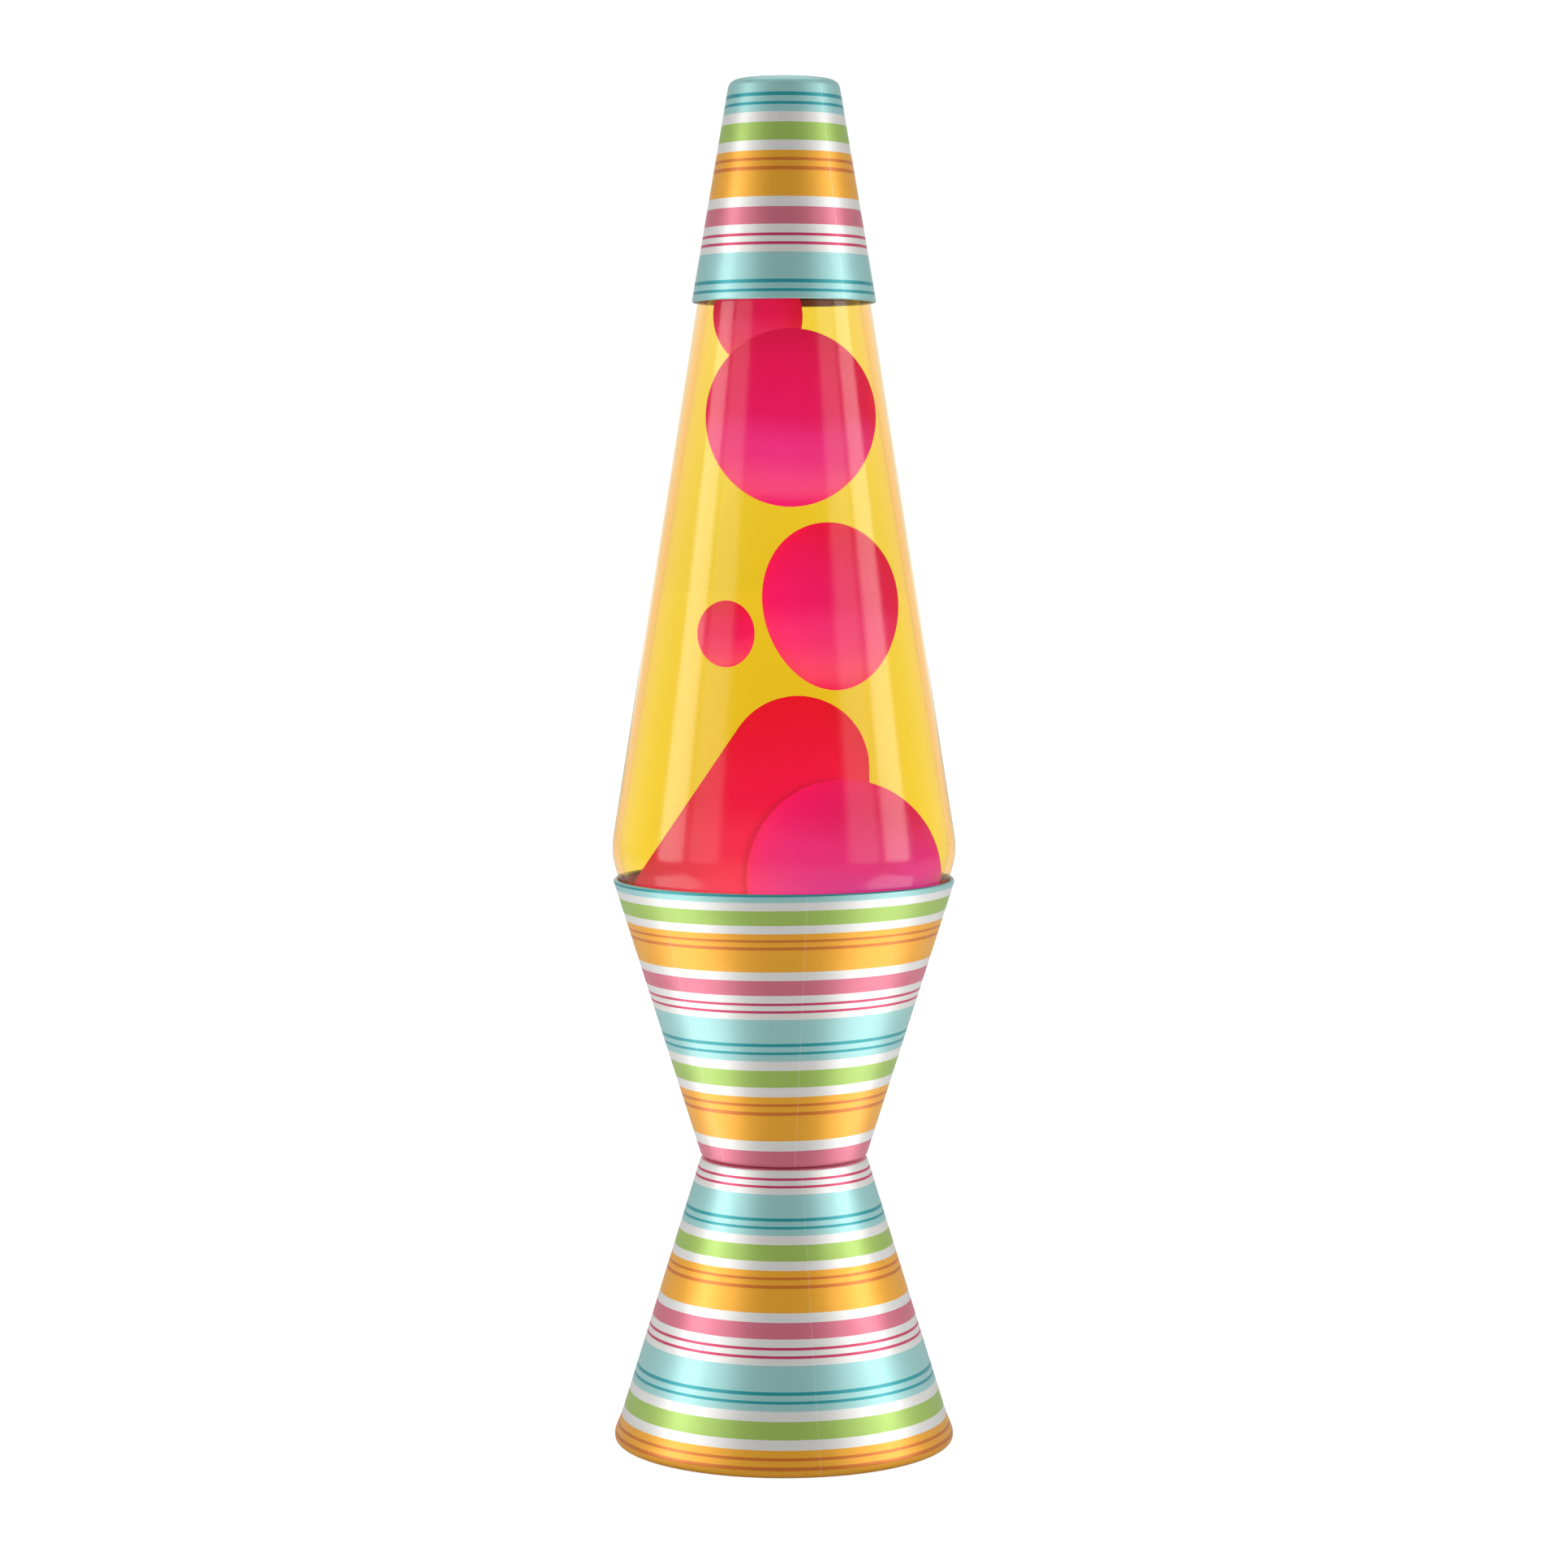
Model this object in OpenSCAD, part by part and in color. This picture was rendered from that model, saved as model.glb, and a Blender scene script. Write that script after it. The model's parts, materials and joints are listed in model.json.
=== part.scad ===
// Lava lamp: a striped two-cone metal base with a bulb inside it, a glass globe of
// clear liquid and wax that lifts off, and a striped metal cap that lifts off the globe.
// Millimetres, Z up. The origin is on the floor, on the lamp's own axis.

/* [Base shells] */
// Diameter over the bottom edge of the lower shell
foot_d = 92.5; // [84:0.1:112]
// Diameter of both shells where they meet at the waist
waist_d = 45; // [44.4:0.1:56]
// Diameter over the rim of the upper shell
rim_d = 92.8; // [77:0.1:112]
// Height of the lower shell, from its bottom edge to the waist
lower_h = 78.1; // [65:0.1:94]
// Height of the upper shell, from the waist to its rim
upper_h = 75.8; // [63:0.1:92]
// Thickness of the shells' sheet metal
sheet_t = 0.8; // [0.6:0.05:1]
// Diameter of the hole through both floors at the waist
waist_hole_d = 29.2; // [24:0.1:29.6]
// Height of the flared skirt at the bottom of the lower shell
skirt_h = 7.8; // [5:0.1:12]
// Height of the upright band at the very bottom of the skirt
skirt_band_h = 2.4; // [2:0.1:4]
// How far the flared skirt stands out past the straight cone
skirt_out = 0.45; // [0:0.05:1.5]
// Width of the turned-under bottom edge
edge_w = 3; // [2.6:0.1:4]
// Inner diameter of the flange that the base plate lies against
flange_d = 78; // [60:0.5:78]

/* [Base plate and feet] */
// Thickness of the base plate
plate_t = 1.5; // [1:0.1:2.5]
// How far the base plate lies above the shell's bottom edge
plate_inset = 0.5; // [0.3:0.1:1]
// How far the feet stand out below the shell's bottom edge
foot_proud = 0.6; // [0.4:0.1:2]
// Diameter of each rubber foot
foot_pad_d = 9; // [6:0.5:10]
// Number of feet
foot_count = 4; // [3:1:6]
// Radius of the circle the feet lie on
foot_circle_r = 33; // [28:0.5:34]
// Height of the raised cup in the middle of the base plate
plate_cup_h = 9.9; // [8:0.1:14]
// Inner diameter of the raised cup
plate_cup_d = 26; // [22:0.5:32]
// Number of stiffening ribs
rib_count = 6; // [3:1:8]
// Height of the ribs
rib_h = 4; // [2:0.5:7]
// Diameter of the vent holes
vent_d = 4; // [2:0.5:5]
// Radius of the circle the vent holes lie on
vent_circle_r = 22; // [20:0.5:26]

/* [Cord grommet] */
// Diameter of the cord's way through the grommet
cord_hole_d = 6.2; // [5:0.1:7]
// Diameter of the hole in the shell that holds the grommet
grommet_hole_d = 9; // [8.5:0.1:11]
// Diameter of the grommet's flanges
grommet_flange_d = 12; // [11.6:0.1:15]
// Thickness of each flange
grommet_flange_t = 1.6; // [1:0.1:2.5]
// Height of the grommet above the floor
grommet_z = 15; // [13:0.5:22]

/* [Lamp pipe and bracket] */
// Diameter of the threaded pipe that ties the socket to the base plate
pipe_d = 9.7; // [8:0.1:10]
// Bore of the pipe
pipe_bore_d = 6.4; // [5:0.1:7]
// Size of the pipe nuts across their flats
pipe_nut_af = 14; // [13:0.1:16]
// Thickness of the pipe nuts
pipe_nut_t = 3.5; // [2.5:0.1:5]
// Diameter of the washer in the base plate's cup
washer_d = 19; // [16:0.5:21]
// Thickness of the washer
washer_t = 1; // [0.6:0.1:1.6]
// Thickness of the bracket's strap
strap_t = 1.2; // [0.8:0.1:1.2]
// Width of the bracket's strap
strap_w = 12; // [9:0.5:14]
// Diameter of the waist screws
screw_d = 3; // [2.5:0.1:3]
// Diameter of the waist screws' heads
screw_head_d = 5; // [4.5:0.1:5]
// Size of the waist nuts across their flats
waist_nut_af = 5.5; // [5:0.1:5.5]
// Thickness of the waist nuts
waist_nut_t = 2.4; // [1.8:0.1:2.6]

/* [Bulb socket] */
// Wall of the socket body round the screw shell
socket_wall = 3.1; // [2.4:0.1:3.1]
// Depth of the pipe's seat in the socket body
pipe_seat_h = 7; // [5:0.5:10]
// Thickness of the web under the contact
web_t = 3; // [2:0.1:4]
// Length of the threaded part of the screw shell
socket_thread_h = 11.4; // [9:0.1:14]

/* [Bulb] */
// Diameter of the bulb
bulb_d = 34.9; // [29:0.1:42]
// Diameter of the glass neck inside the cap
bulb_neck_d = 15.2; // [14.4:0.1:15.4]
// Length of the straight neck above the cap
bulb_neck_h = 5.8; // [3:0.1:14]
// Crest diameter of the bulb cap's thread
cap_thread_d = 16.4; // [16.2:0.1:16.8]
// Pitch of the bulb cap's thread
cap_pitch = 2.82; // [2.5:0.01:3.2]
// Length of the bulb cap, from its tip
bulb_cap_h = 19; // [18.5:0.1:24]
// Thickness of the bulb's glass
bulb_glass_t = 0.7; // [0.5:0.1:1.2]
// How far the bulb rises when it is unscrewed
unscrew_h = 9.9; // [8:0.1:12]

/* [Globe] */
// Height of glass that shows between the rim and the cap
glass_show_h = 154.7; // [129:0.1:186]
// Diameter of the glass at the cap's lower edge
glass_hem_d = 46.8; // [40:0.1:56]
// Height above the rim where the glass turns from one cone to the other
shoulder_rise = 7; // [5:0.1:12]
// Radius of the rounded shoulder
shoulder_r = 18.5; // [8:0.5:22]
// Thickness of the glass
glass_t = 2.2; // [1.6:0.1:2.8]
// Radius of the heel at the bottom of the globe
heel_r = 4; // [3:0.1:6]
// Height of the hollow under the globe
punt_h = 2.5; // [1:0.1:4]
// Diameter of the bottle neck
neck_d = 24; // [21:0.1:24.4]
// Length of the straight neck below the finish
neck_h = 12; // [8:0.1:15]
// Height of the thickened finish that the crown grips
finish_h = 5.2; // [4:0.1:6]
// How far the finish stands out from the neck
finish_out = 0.9; // [0.5:0.1:1]
// Height of the liquid's surface above the cap's lower edge
liquid_over_hem = 28; // [10:0.5:30]

/* [Crown] */
// Height of the crown
crown_h = 6; // [5:0.1:7]
// Thickness of the crown's sheet
crown_t = 0.5; // [0.3:0.05:0.6]
// Number of flutes round the crown
crown_flutes = 21; // [15:1:27]
// Depth of the flutes
flute_depth = 0.8; // [0.4:0.05:1]
// Thickness of the sealing liner
liner_t = 0.6; // [0.4:0.1:1]

/* [Cap] */
// Height of the cap
cap_h = 59.1; // [50:0.1:71]
// Diameter of the cap's top, before its corner is rounded
cap_top_d = 29.3; // [28.6:0.1:36]
// Radius of the cap's top corner
cap_corner_r = 2.6; // [1.5:0.1:4]
// Thickness of the cap's sheet metal
cap_sheet_t = 0.7; // [0.5:0.05:0.8]
// Radius of the rolled lower edge
cap_hem_r = 0.5; // [0.4:0.05:0.6]

/* [Wax] */
// Height of glass that the wax's heights below are given for; they stretch with the glass
wax_glass_h = 154.7; // [129:0.1:186]
// Height of the level wax above the waist
pool_h = 71; // [40:0.5:71]
// Radius of the tall hill's rounded top
hill_r = 17; // [10:0.5:20]
// Height of the tall hill's rounded top above the rim
hill_rise = 32; // [20:0.5:40]
// Half-angle and tilt of the tall hill's sides
hill_angle = 18; // [10:1:22]
// Radius of the front hill
dome_r = 26; // [18:0.5:27]
// Height of the front hill's centre above the rim
dome_rise = 1.6; // [0:0.2:6]
// Largest radius of the large blob, seen from the front
large_r = 23.1; // [16:0.1:24]
// How far the large blob can rise before it meets the glass
large_climb = 1; // [0:0.1:3]
// Half-depth of the large blob
large_depth = 15.5; // [10:0.1:16]
// Height of the large blob's centre above the rim
large_rise = 124; // [110:0.5:128]
// Radius of the top blob, seen from the front
top_r = 12.8; // [9:0.1:13.2]
// Half-depth of the top blob
top_depth = 6; // [4:0.1:7]
// Height of the top blob's centre above the rim
top_rise = 151.6; // [148:0.2:155]
// Radius of the middle blob at its widest
middle_r = 18.4; // [12:0.1:19]
// Half-height of the middle blob
middle_half_h = 22.7; // [16:0.1:23]
// Height of the middle blob's centre above the rim
middle_rise = 73.4; // [70:0.2:76]
// Radius of the small blob at its widest
small_r = 7.7; // [5:0.1:9]
// Half-height of the small blob
small_half_h = 9; // [6:0.1:10]
// Height of the small blob's centre above the rim
small_rise = 66; // [60:0.2:72]

/* [Heater coil] */
// Radius of the ring that the coil lies in
coil_ring_r = 22; // [16:0.5:24]
// Radius of the coil's turns
coil_turn_r = 2.6; // [2:0.1:3]
// Diameter of the coil's wire
coil_wire_d = 1; // [0.8:0.1:1.2]
// Number of turns round the ring
coil_turns = 34; // [24:1:40]

/* [Clearances] */
// Gap between the globe and the rim that it rests in
seat_gap = 0.3; // [0.2:0.05:0.6]
// Gap between the cap's rolled edge and the glass
cap_glass_gap = 0.4; // [0.3:0.05:0.8]
// Gap under the cap's top, and beside the glass and the crown inside it
cap_inside_gap = 0.35; // [0.25:0.05:0.6]
// Gap between the bulb and the hole in the floors
bulb_hole_gap = 0.8; // [0.5:0.1:1.5]
// Gap between the bulb's thread and the socket's screw shell
thread_gap = 0.25; // [0.2:0.05:0.4]
// Gap between the bulb's tip and the contact
contact_gap = 0.2; // [0.1:0.05:0.4]
// Gap between the raised bulb and the bottom of the globe
globe_bulb_gap = 1; // [0.6:0.1:3]
// Gap between each moving blob and the liquid round it
wax_gap = 0.3; // [0.2:0.05:0.5]
// Play of screws and the pipe in their holes
hole_gap = 0.15; // [0.1:0.05:0.3]
// Smallest gap between parts of the base that only pass each other
pass_gap = 0.8; // [0.5:0.1:1.2]

/* [Hidden] */
$fn = 96;

// Main heights, upwards
foot_z = foot_proud;
plate_z = foot_z + plate_inset;
flange_z = plate_z + plate_t;
waist_z = foot_z + lower_h;
floor_z = waist_z + sheet_t;
rim_z = waist_z + upper_h;
hem_z = rim_z + glass_show_h;
top_z = hem_z + cap_h;

// Base shells
foot_r = foot_d / 2;
waist_r = waist_d / 2;
rim_r = rim_d / 2;
waist_hole_r = waist_hole_d / 2;
shell_slope = (rim_r - waist_r) / upper_h;
lower_slope = (foot_r - skirt_out - waist_r) / (lower_h - skirt_band_h);
waist_corner_r = 1.6;
hem_r = sheet_t * 0.875;
hem_h = 2.4;
edge_corner_r = 1.2;

// Fasteners at the waist lie in the middle of the ledge round the hole
screw_r = (waist_hole_r + waist_r - sheet_t) / 2;
screw_head_h = 1.8;
screw_tail = 1;
ear_z = waist_z - sheet_t - strap_t;

// The bulb's wide part is held just above the hole by its own curve
bulb_r = bulb_d / 2;
bulb_neck_r = bulb_neck_d / 2;
bulb_cone_angle = 40;
bulb_hole_r = waist_hole_r - bulb_hole_gap;
bulb_drop = bulb_r * cos(bulb_cone_angle) > bulb_hole_r
    ? bulb_r * sin(bulb_cone_angle)
        + (bulb_r * cos(bulb_cone_angle) - bulb_hole_r) / tan(bulb_cone_angle)
    : sqrt(max(0, pow(bulb_r, 2) - pow(bulb_hole_r, 2)));
bulb_mid_z = floor_z + bulb_drop;
bulb_cone_h = (bulb_r * cos(bulb_cone_angle) - bulb_neck_r) / tan(bulb_cone_angle);
bulb_neck_z = bulb_mid_z - bulb_r * sin(bulb_cone_angle) - bulb_cone_h;
bulb_top_z = bulb_mid_z + bulb_r;
tip_z = bulb_neck_z - bulb_neck_h - bulb_cap_h;
collar_z = tip_z + bulb_cap_h - 3.2;
cap_sheet = 0.25;
thread_depth = 0.6;
tip_h = 1.4;
tip_r = 2.8;
stem_z = tip_z + 9;
stem_top_z = bulb_neck_z + 1;
stem_r = cap_thread_d / 2 - thread_depth - cap_sheet - 0.1 - bulb_glass_t;
filament_z = bulb_mid_z - 1;
filament_x = bulb_r * 0.42;

// Socket, bracket and pipe hang below the bulb
screw_shell_t = 0.4;
screw_shell_in_r = cap_thread_d / 2 + thread_gap;
screw_shell_wave = 0.3;
chamber_r = screw_shell_in_r + screw_shell_wave + screw_shell_t + 0.03;
socket_r = chamber_r + socket_wall;
contact_t = 0.5;
contact_lift = 1.4;
web_z = tip_z - contact_gap - contact_lift;
socket_z = web_z - web_t - pipe_seat_h;
screw_shell_z = web_z + 3.2;
socket_top_z = screw_shell_z + socket_thread_h + 2.6;
strap_z = socket_z - strap_t;
leg_x = socket_r + pass_gap;
pipe_r = pipe_d / 2;
pipe_hole_r = pipe_r + hole_gap;
cup_wall = 1.5;
cup_z = plate_z + plate_cup_h;
cup_r = plate_cup_d / 2;
washer_z = cup_z - cup_wall - washer_t;
pipe_z = washer_z - pipe_nut_t - 1.2;
pipe_top_z = socket_z + pipe_seat_h - 0.5;
rivet_x = 5.2;
rivet_r = 1;
terminal_z = socket_z + pipe_seat_h / 2;
terminal_flat = 1.6;

// The globe rests inside the rim; its bottom clears the bulb while that is unscrewed
globe_z = bulb_top_z + unscrew_h + globe_bulb_gap;
glass_rim_r = rim_r - 2 * hem_r - seat_gap;
shoulder_z = rim_z + shoulder_rise;
shoulder_x = glass_rim_r + shell_slope * shoulder_rise;
glass_hem_r = glass_hem_d / 2;
heel_x = glass_rim_r - shell_slope * (rim_z - globe_z);
glass_slope = (shoulder_x - glass_hem_r) / (hem_z - shoulder_z);
function globe_r(z) = shoulder_x - glass_slope * (z - shoulder_z);

// Cap: its lower edge clears the glass, its top clears the crown
cap_hem_out_r = glass_hem_r + cap_glass_gap + 2 * cap_hem_r;
cap_top_r = cap_top_d / 2;
cap_slope = (cap_hem_out_r - cap_top_r) / cap_h;
function cap_r(z) = cap_hem_out_r - cap_slope * (z - hem_z);
function cap_in_r(z) = cap_r(z) - cap_sheet_t;
crown_top_z = top_z - cap_sheet_t - cap_inside_gap;
crown_z = crown_top_z - crown_h;
crown_round_h = 2;
crown_r = cap_in_r(crown_top_z - crown_round_h) - cap_inside_gap;
lip_z = crown_top_z - crown_t - liner_t;
neck_r = neck_d / 2;
finish_r = min(neck_r + finish_out, crown_r - flute_depth - crown_t);
neck_top_z = lip_z - finish_h;
neck_z = neck_top_z - neck_h;
neck_shoulder_z = neck_z - 7;
neck_shoulder_r = cap_in_r(neck_shoulder_z) - cap_inside_gap;
liquid_z = min(hem_z + liquid_over_hem, neck_shoulder_z);

// Wax
wall_gap = 0.1;
hill_x = 5;
hill_y = 6;
wax_stretch = glass_show_h / wax_glass_h;
hill_fit_r = hill_r * wax_stretch;
hill_z = rim_z + hill_rise * wax_stretch;
dome_x = 15.5;
dome_y = -10;
dome_z = rim_z + dome_rise;
pool_z = waist_z + pool_h;
large_x = 1.8;
large_y = -5;
large_z = rim_z + large_rise * wax_stretch;
top_x = -7;
top_z_mid = rim_z + top_rise * wax_stretch;
top_fit_r = top_r * min(1, wax_stretch);
top_y = 9.4;
top_turn = 24;
middle_z = rim_z + middle_rise * wax_stretch;
middle_tilt = 8;
middle_x = min(12.6, inside_r(middle_z) - middle_r - wax_gap);
small_x = -15.6;
small_z = rim_z + small_rise * wax_stretch;
coil_z = globe_z + heel_r + glass_t + coil_turn_r + 1;
function inside_r(z) = globe_r(z) - glass_t * sqrt(1 + pow(glass_slope, 2));
large_wall_r = inside_r(large_z + large_climb + large_r * glass_slope) - wax_gap;
large_fit_r = min(large_r * wax_stretch, sqrt(pow(large_wall_r, 2) - pow(large_y, 2)) - large_x);

// Points of an arc about c, from angle a0 to a1
function arc(c, r, a0, a1, n = 8) =
    [for (i = [0 : n]) c + r * [cos(a0 + (a1 - a0) * i / n), sin(a0 + (a1 - a0) * i / n)]];

function unit(v) = v / norm(v);
function turn(a) = a > 180 ? a - 360 : a < -180 ? a + 360 : a;

// The corner b of a path a-b-c, rounded to radius r
function corner(a, b, c, r) =
    let (
        u = unit(a - b),
        v = unit(c - b),
        half = acos(max(-1, min(1, u * v))) / 2,
        reach = r / tan(half),
        m = b + unit(u + v) * r / sin(half),
        p = b + u * reach - m,
        q = b + v * reach - m,
        a0 = atan2(p.y, p.x),
        sweep = turn(atan2(q.y, q.x) - a0),
        n = max(2, ceil(abs(sweep) / 12))
    )
    arc(m, r, a0, a0 + sweep, n);

// A path through points given as [x, y, corner radius]
function rounded(p) =
    [for (i = [0 : len(p) - 1])
        each (i == 0 || i == len(p) - 1 || p[i].z == 0)
            ? [[p[i].x, p[i].y]]
            : corner([p[i - 1].x, p[i - 1].y], [p[i].x, p[i].y], [p[i + 1].x, p[i + 1].y], p[i].z)];

function left_of(a, b) = let (d = unit(b - a)) [-d.y, d.x];

// The same path moved sideways by d, to the left of its direction
function beside(p, d) =
    [for (i = [0 : len(p) - 1])
        let (
            n0 = left_of(p[max(i - 1, 0)], p[max(i, 1)]),
            n1 = left_of(p[min(i, len(p) - 2)], p[min(i + 1, len(p) - 1)]),
            m = unit(n0 + n1)
        )
        p[i] + m * d / (m * n0)];

function reversed(p) = [for (i = [len(p) - 1 : -1 : 0]) p[i]];

// Sheet of thickness t along a path, on the left of it (or the right where t < 0)
module sheet(p, t) {
    polygon(concat(p, reversed(beside(p, t))));
}

// The same beside a path that ends on the axis it is turned about
module turned_sheet(p, t) {
    polygon(concat(p, [for (q = reversed(beside(p, t))) [max(q.x, 0), q.y]]));
}

// Sheet whose path ends in a rolled edge: a bead of radius r that stands inwards, up to hem_h
function hemmed(wall, end, turn_z, r, t, up) =
    concat(
        rounded(concat(
            [for (p = wall) [p.x, p.y, 0]],
            [[end, turn_z, r * 0.98], [end - 2 * r, turn_z, r * 0.98]],
            [[wall[len(wall) - 1].x - t, wall[len(wall) - 1].y, 0]]
        )),
        reversed([for (q = beside(wall, up * t)) [max(q.x, 0), q.y]])
    );

// Height of a path's point moved to where the path crosses level z, between points a and b
function crossing(a, b, z) = a + (b - a) * (z - a.y) / (b.y - a.y);

// Outline of the upper shell, from the hole in its floor to its rolled rim
upper_path = rounded([
    [waist_hole_r, waist_z, 0],
    [waist_r, waist_z, waist_corner_r],
    [rim_r - shell_slope * hem_h, rim_z - hem_h, 0]
]);

// Outline of the lower shell, from the hole in its top to the flange under it
lower_path = rounded([
    [waist_hole_r, waist_z, 0],
    [waist_r, waist_z, waist_corner_r],
    [waist_r + lower_slope * (lower_h - skirt_h), foot_z + skirt_h, 12],
    [foot_r, foot_z + skirt_band_h, 3],
    [foot_r, foot_z, edge_corner_r],
    [foot_r - edge_w, foot_z, edge_corner_r],
    [foot_r - edge_w, flange_z, 0.4],
    [flange_d / 2, flange_z, 0]
]);

// Outer outline of the globe, from the middle of its bottom up to its neck
globe_corners = [
    [0, globe_z + punt_h, 0],
    [heel_x * 0.55, globe_z + punt_h, 6],
    [heel_x - heel_r, globe_z, 2.5],
    [heel_x, globe_z, heel_r],
    [shoulder_x, shoulder_z, shoulder_r],
    [globe_r(hem_z + 4), hem_z + 4, 0],
    [neck_shoulder_r, neck_shoulder_z, 5],
    [neck_r, neck_z, 3]
];

// The finish stands out from the neck, and the bore runs straight through it
globe_path = rounded(concat(globe_corners, [
    [neck_r, neck_top_z - 0.8, 0.6],
    [finish_r, neck_top_z, 0.6],
    [finish_r, lip_z, 0.8],
    [neck_r - glass_t, lip_z, 0]
]));
globe_inner_path = beside(rounded(concat(globe_corners, [[neck_r, lip_z, 0]])), glass_t);

// Outline of the cap, from the middle of its top to its rolled edge
cap_path = rounded([
    [0, top_z, 0],
    [cap_top_r, top_z, cap_corner_r],
    [cap_r(hem_z + hem_h), hem_z + hem_h, 0]
]);

// Outline of a screw thread as rings: crests of radius r every pitch
function thread(r, depth, pitch, z, h) =
    [for (i = [0 : floor(h / pitch * 8)])
        [r - depth / 2 + depth / 2 * cos(360 * i / 8), z + i * pitch / 8]];

// The bulb's glass from its neck inside the cap to its top
bulb_path = concat(
    rounded([
        [stem_r + bulb_glass_t, stem_z, 0],
        [stem_r + bulb_glass_t, collar_z - 0.6, 0],
        [bulb_neck_r, collar_z + 0.4, 0],
        [bulb_neck_r, bulb_neck_z, 6],
        [bulb_r * cos(bulb_cone_angle), bulb_mid_z - bulb_r * sin(bulb_cone_angle), 0]
    ]),
    [for (a = [-bulb_cone_angle + 8 : 8 : 89])
        [bulb_r * cos(a), bulb_mid_z + bulb_r * sin(a)]],
    [[0, bulb_top_z]]
);

module ring(r_out, r_in, h) {
    difference() {
        cylinder(r = r_out, h = h);
        translate([0, 0, -1]) cylinder(r = r_in, h = h + 2);
    }
}

module hex_nut(flats, bore_r, h) {
    difference() {
        cylinder(r = flats / sqrt(3), h = h, $fn = 6);
        translate([0, 0, -1]) cylinder(r = bore_r, h = h + 2, $fn = 48);
    }
}

module at_waist_screws() {
    for (side = [-1, 1]) translate([side * screw_r, 0, 0]) children();
}

// Hole in the back of the lower shell, square to its sloping wall
grommet_wall_r = waist_r + lower_slope * (waist_z - grommet_z);
module at_grommet() {
    translate([0, grommet_wall_r, grommet_z]) rotate([-90 + atan(lower_slope), 0, 0]) children();
}

module lower_shell() {
    color("lightseagreen") difference() {
        rotate_extrude() sheet(lower_path, -sheet_t);
        at_waist_screws() translate([0, 0, waist_z - 2]) cylinder(r = screw_d / 2 + hole_gap, h = 4);
        at_grommet() translate([0, 0, -5]) cylinder(r = grommet_hole_d / 2, h = 10);
    }
}

module upper_shell() {
    color("lightseagreen") difference() {
        rotate_extrude() polygon(hemmed(upper_path, rim_r, rim_z, hem_r, sheet_t, 1));
        at_waist_screws() translate([0, 0, waist_z - 1]) cylinder(r = screw_d / 2 + hole_gap, h = 4);
    }
}

plate_r = foot_r - edge_w - 0.3;

module base_plate() {
    color("dimgray") difference() {
        union() {
            rotate_extrude() polygon([
                [pipe_hole_r, cup_z - cup_wall],
                [cup_r, cup_z - cup_wall],
                [cup_r, plate_z],
                [plate_r, plate_z],
                [plate_r, plate_z + plate_t - 0.6],
                [plate_r - 0.6, plate_z + plate_t],
                [cup_r + cup_wall, plate_z + plate_t],
                [cup_r + cup_wall, cup_z],
                [pipe_hole_r, cup_z]
            ]);
            for (i = [0 : rib_count - 1]) rotate([0, 0, (i + 0.5) * 360 / rib_count])
                translate([cup_r + cup_wall - 0.5, -0.75, plate_z + plate_t - 0.5])
                    cube([flange_d / 2 - cup_r - cup_wall - 0.5, 1.5, rib_h + 0.5]);
        }
        for (i = [0 : 2 * rib_count - 1]) rotate([0, 0, (i + 0.5) * 180 / rib_count])
            translate([vent_circle_r, 0, plate_z - 1]) cylinder(r = vent_d / 2, h = plate_t + 2);
    }
}

module feet() {
    color("darkslategray")
        for (i = [0 : foot_count - 1]) rotate([0, 0, (i + 0.5) * 360 / foot_count])
            translate([foot_circle_r, 0, 0]) cylinder(r = foot_pad_d / 2, h = plate_z);
}

module cord_grommet() {
    // The wall is round, so the inner flange lies this much deeper than the sheet
    sag = pow(grommet_flange_d / 2, 2) / (2 * (grommet_wall_r - sheet_t));
    inner = -sheet_t - sag;
    color("black") at_grommet() rotate_extrude() polygon([
        [cord_hole_d / 2, inner - grommet_flange_t],
        [grommet_flange_d / 2 - 0.5, inner - grommet_flange_t],
        [grommet_flange_d / 2, inner - grommet_flange_t + 0.5],
        [grommet_flange_d / 2, inner],
        [grommet_hole_d / 2, inner],
        [grommet_hole_d / 2, 0],
        [grommet_flange_d / 2, 0],
        [grommet_flange_d / 2, grommet_flange_t - 0.5],
        [grommet_flange_d / 2 - 0.5, grommet_flange_t],
        [cord_hole_d / 2, grommet_flange_t]
    ]);
}

module lamp_pipe() {
    color("goldenrod") translate([0, 0, pipe_z]) ring(pipe_r, pipe_bore_d / 2, pipe_top_z - pipe_z);
}

module pipe_nuts() {
    color("silver") for (z = [washer_z - pipe_nut_t, strap_z - pipe_nut_t])
        translate([0, 0, z]) hex_nut(pipe_nut_af, pipe_r + 0.05, pipe_nut_t);
}

module pipe_washer() {
    color("silver") translate([0, 0, washer_z]) ring(washer_d / 2, pipe_hole_r, washer_t);
}

module socket_bracket() {
    outer = leg_x + strap_t;
    ear = screw_r + screw_d;
    path = rounded([
        [-ear, ear_z, 0], [-outer, ear_z, 0.3], [-outer, strap_z, 2],
        [outer, strap_z, 2], [outer, ear_z, 0.3], [ear, ear_z, 0]
    ]);
    color("lightsteelblue") difference() {
        intersection() {
            rotate([90, 0, 0]) linear_extrude(strap_w, center = true) sheet(path, strap_t);
            translate([0, 0, strap_z - 1])
                cylinder(r = waist_r - sheet_t - 0.5, h = ear_z - strap_z + 5);
        }
        translate([0, 0, strap_z - 1]) cylinder(r = pipe_hole_r, h = strap_t + 2);
        at_waist_screws() translate([0, 0, ear_z - 1]) cylinder(r = screw_d / 2 + hole_gap, h = 4);
    }
}

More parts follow.
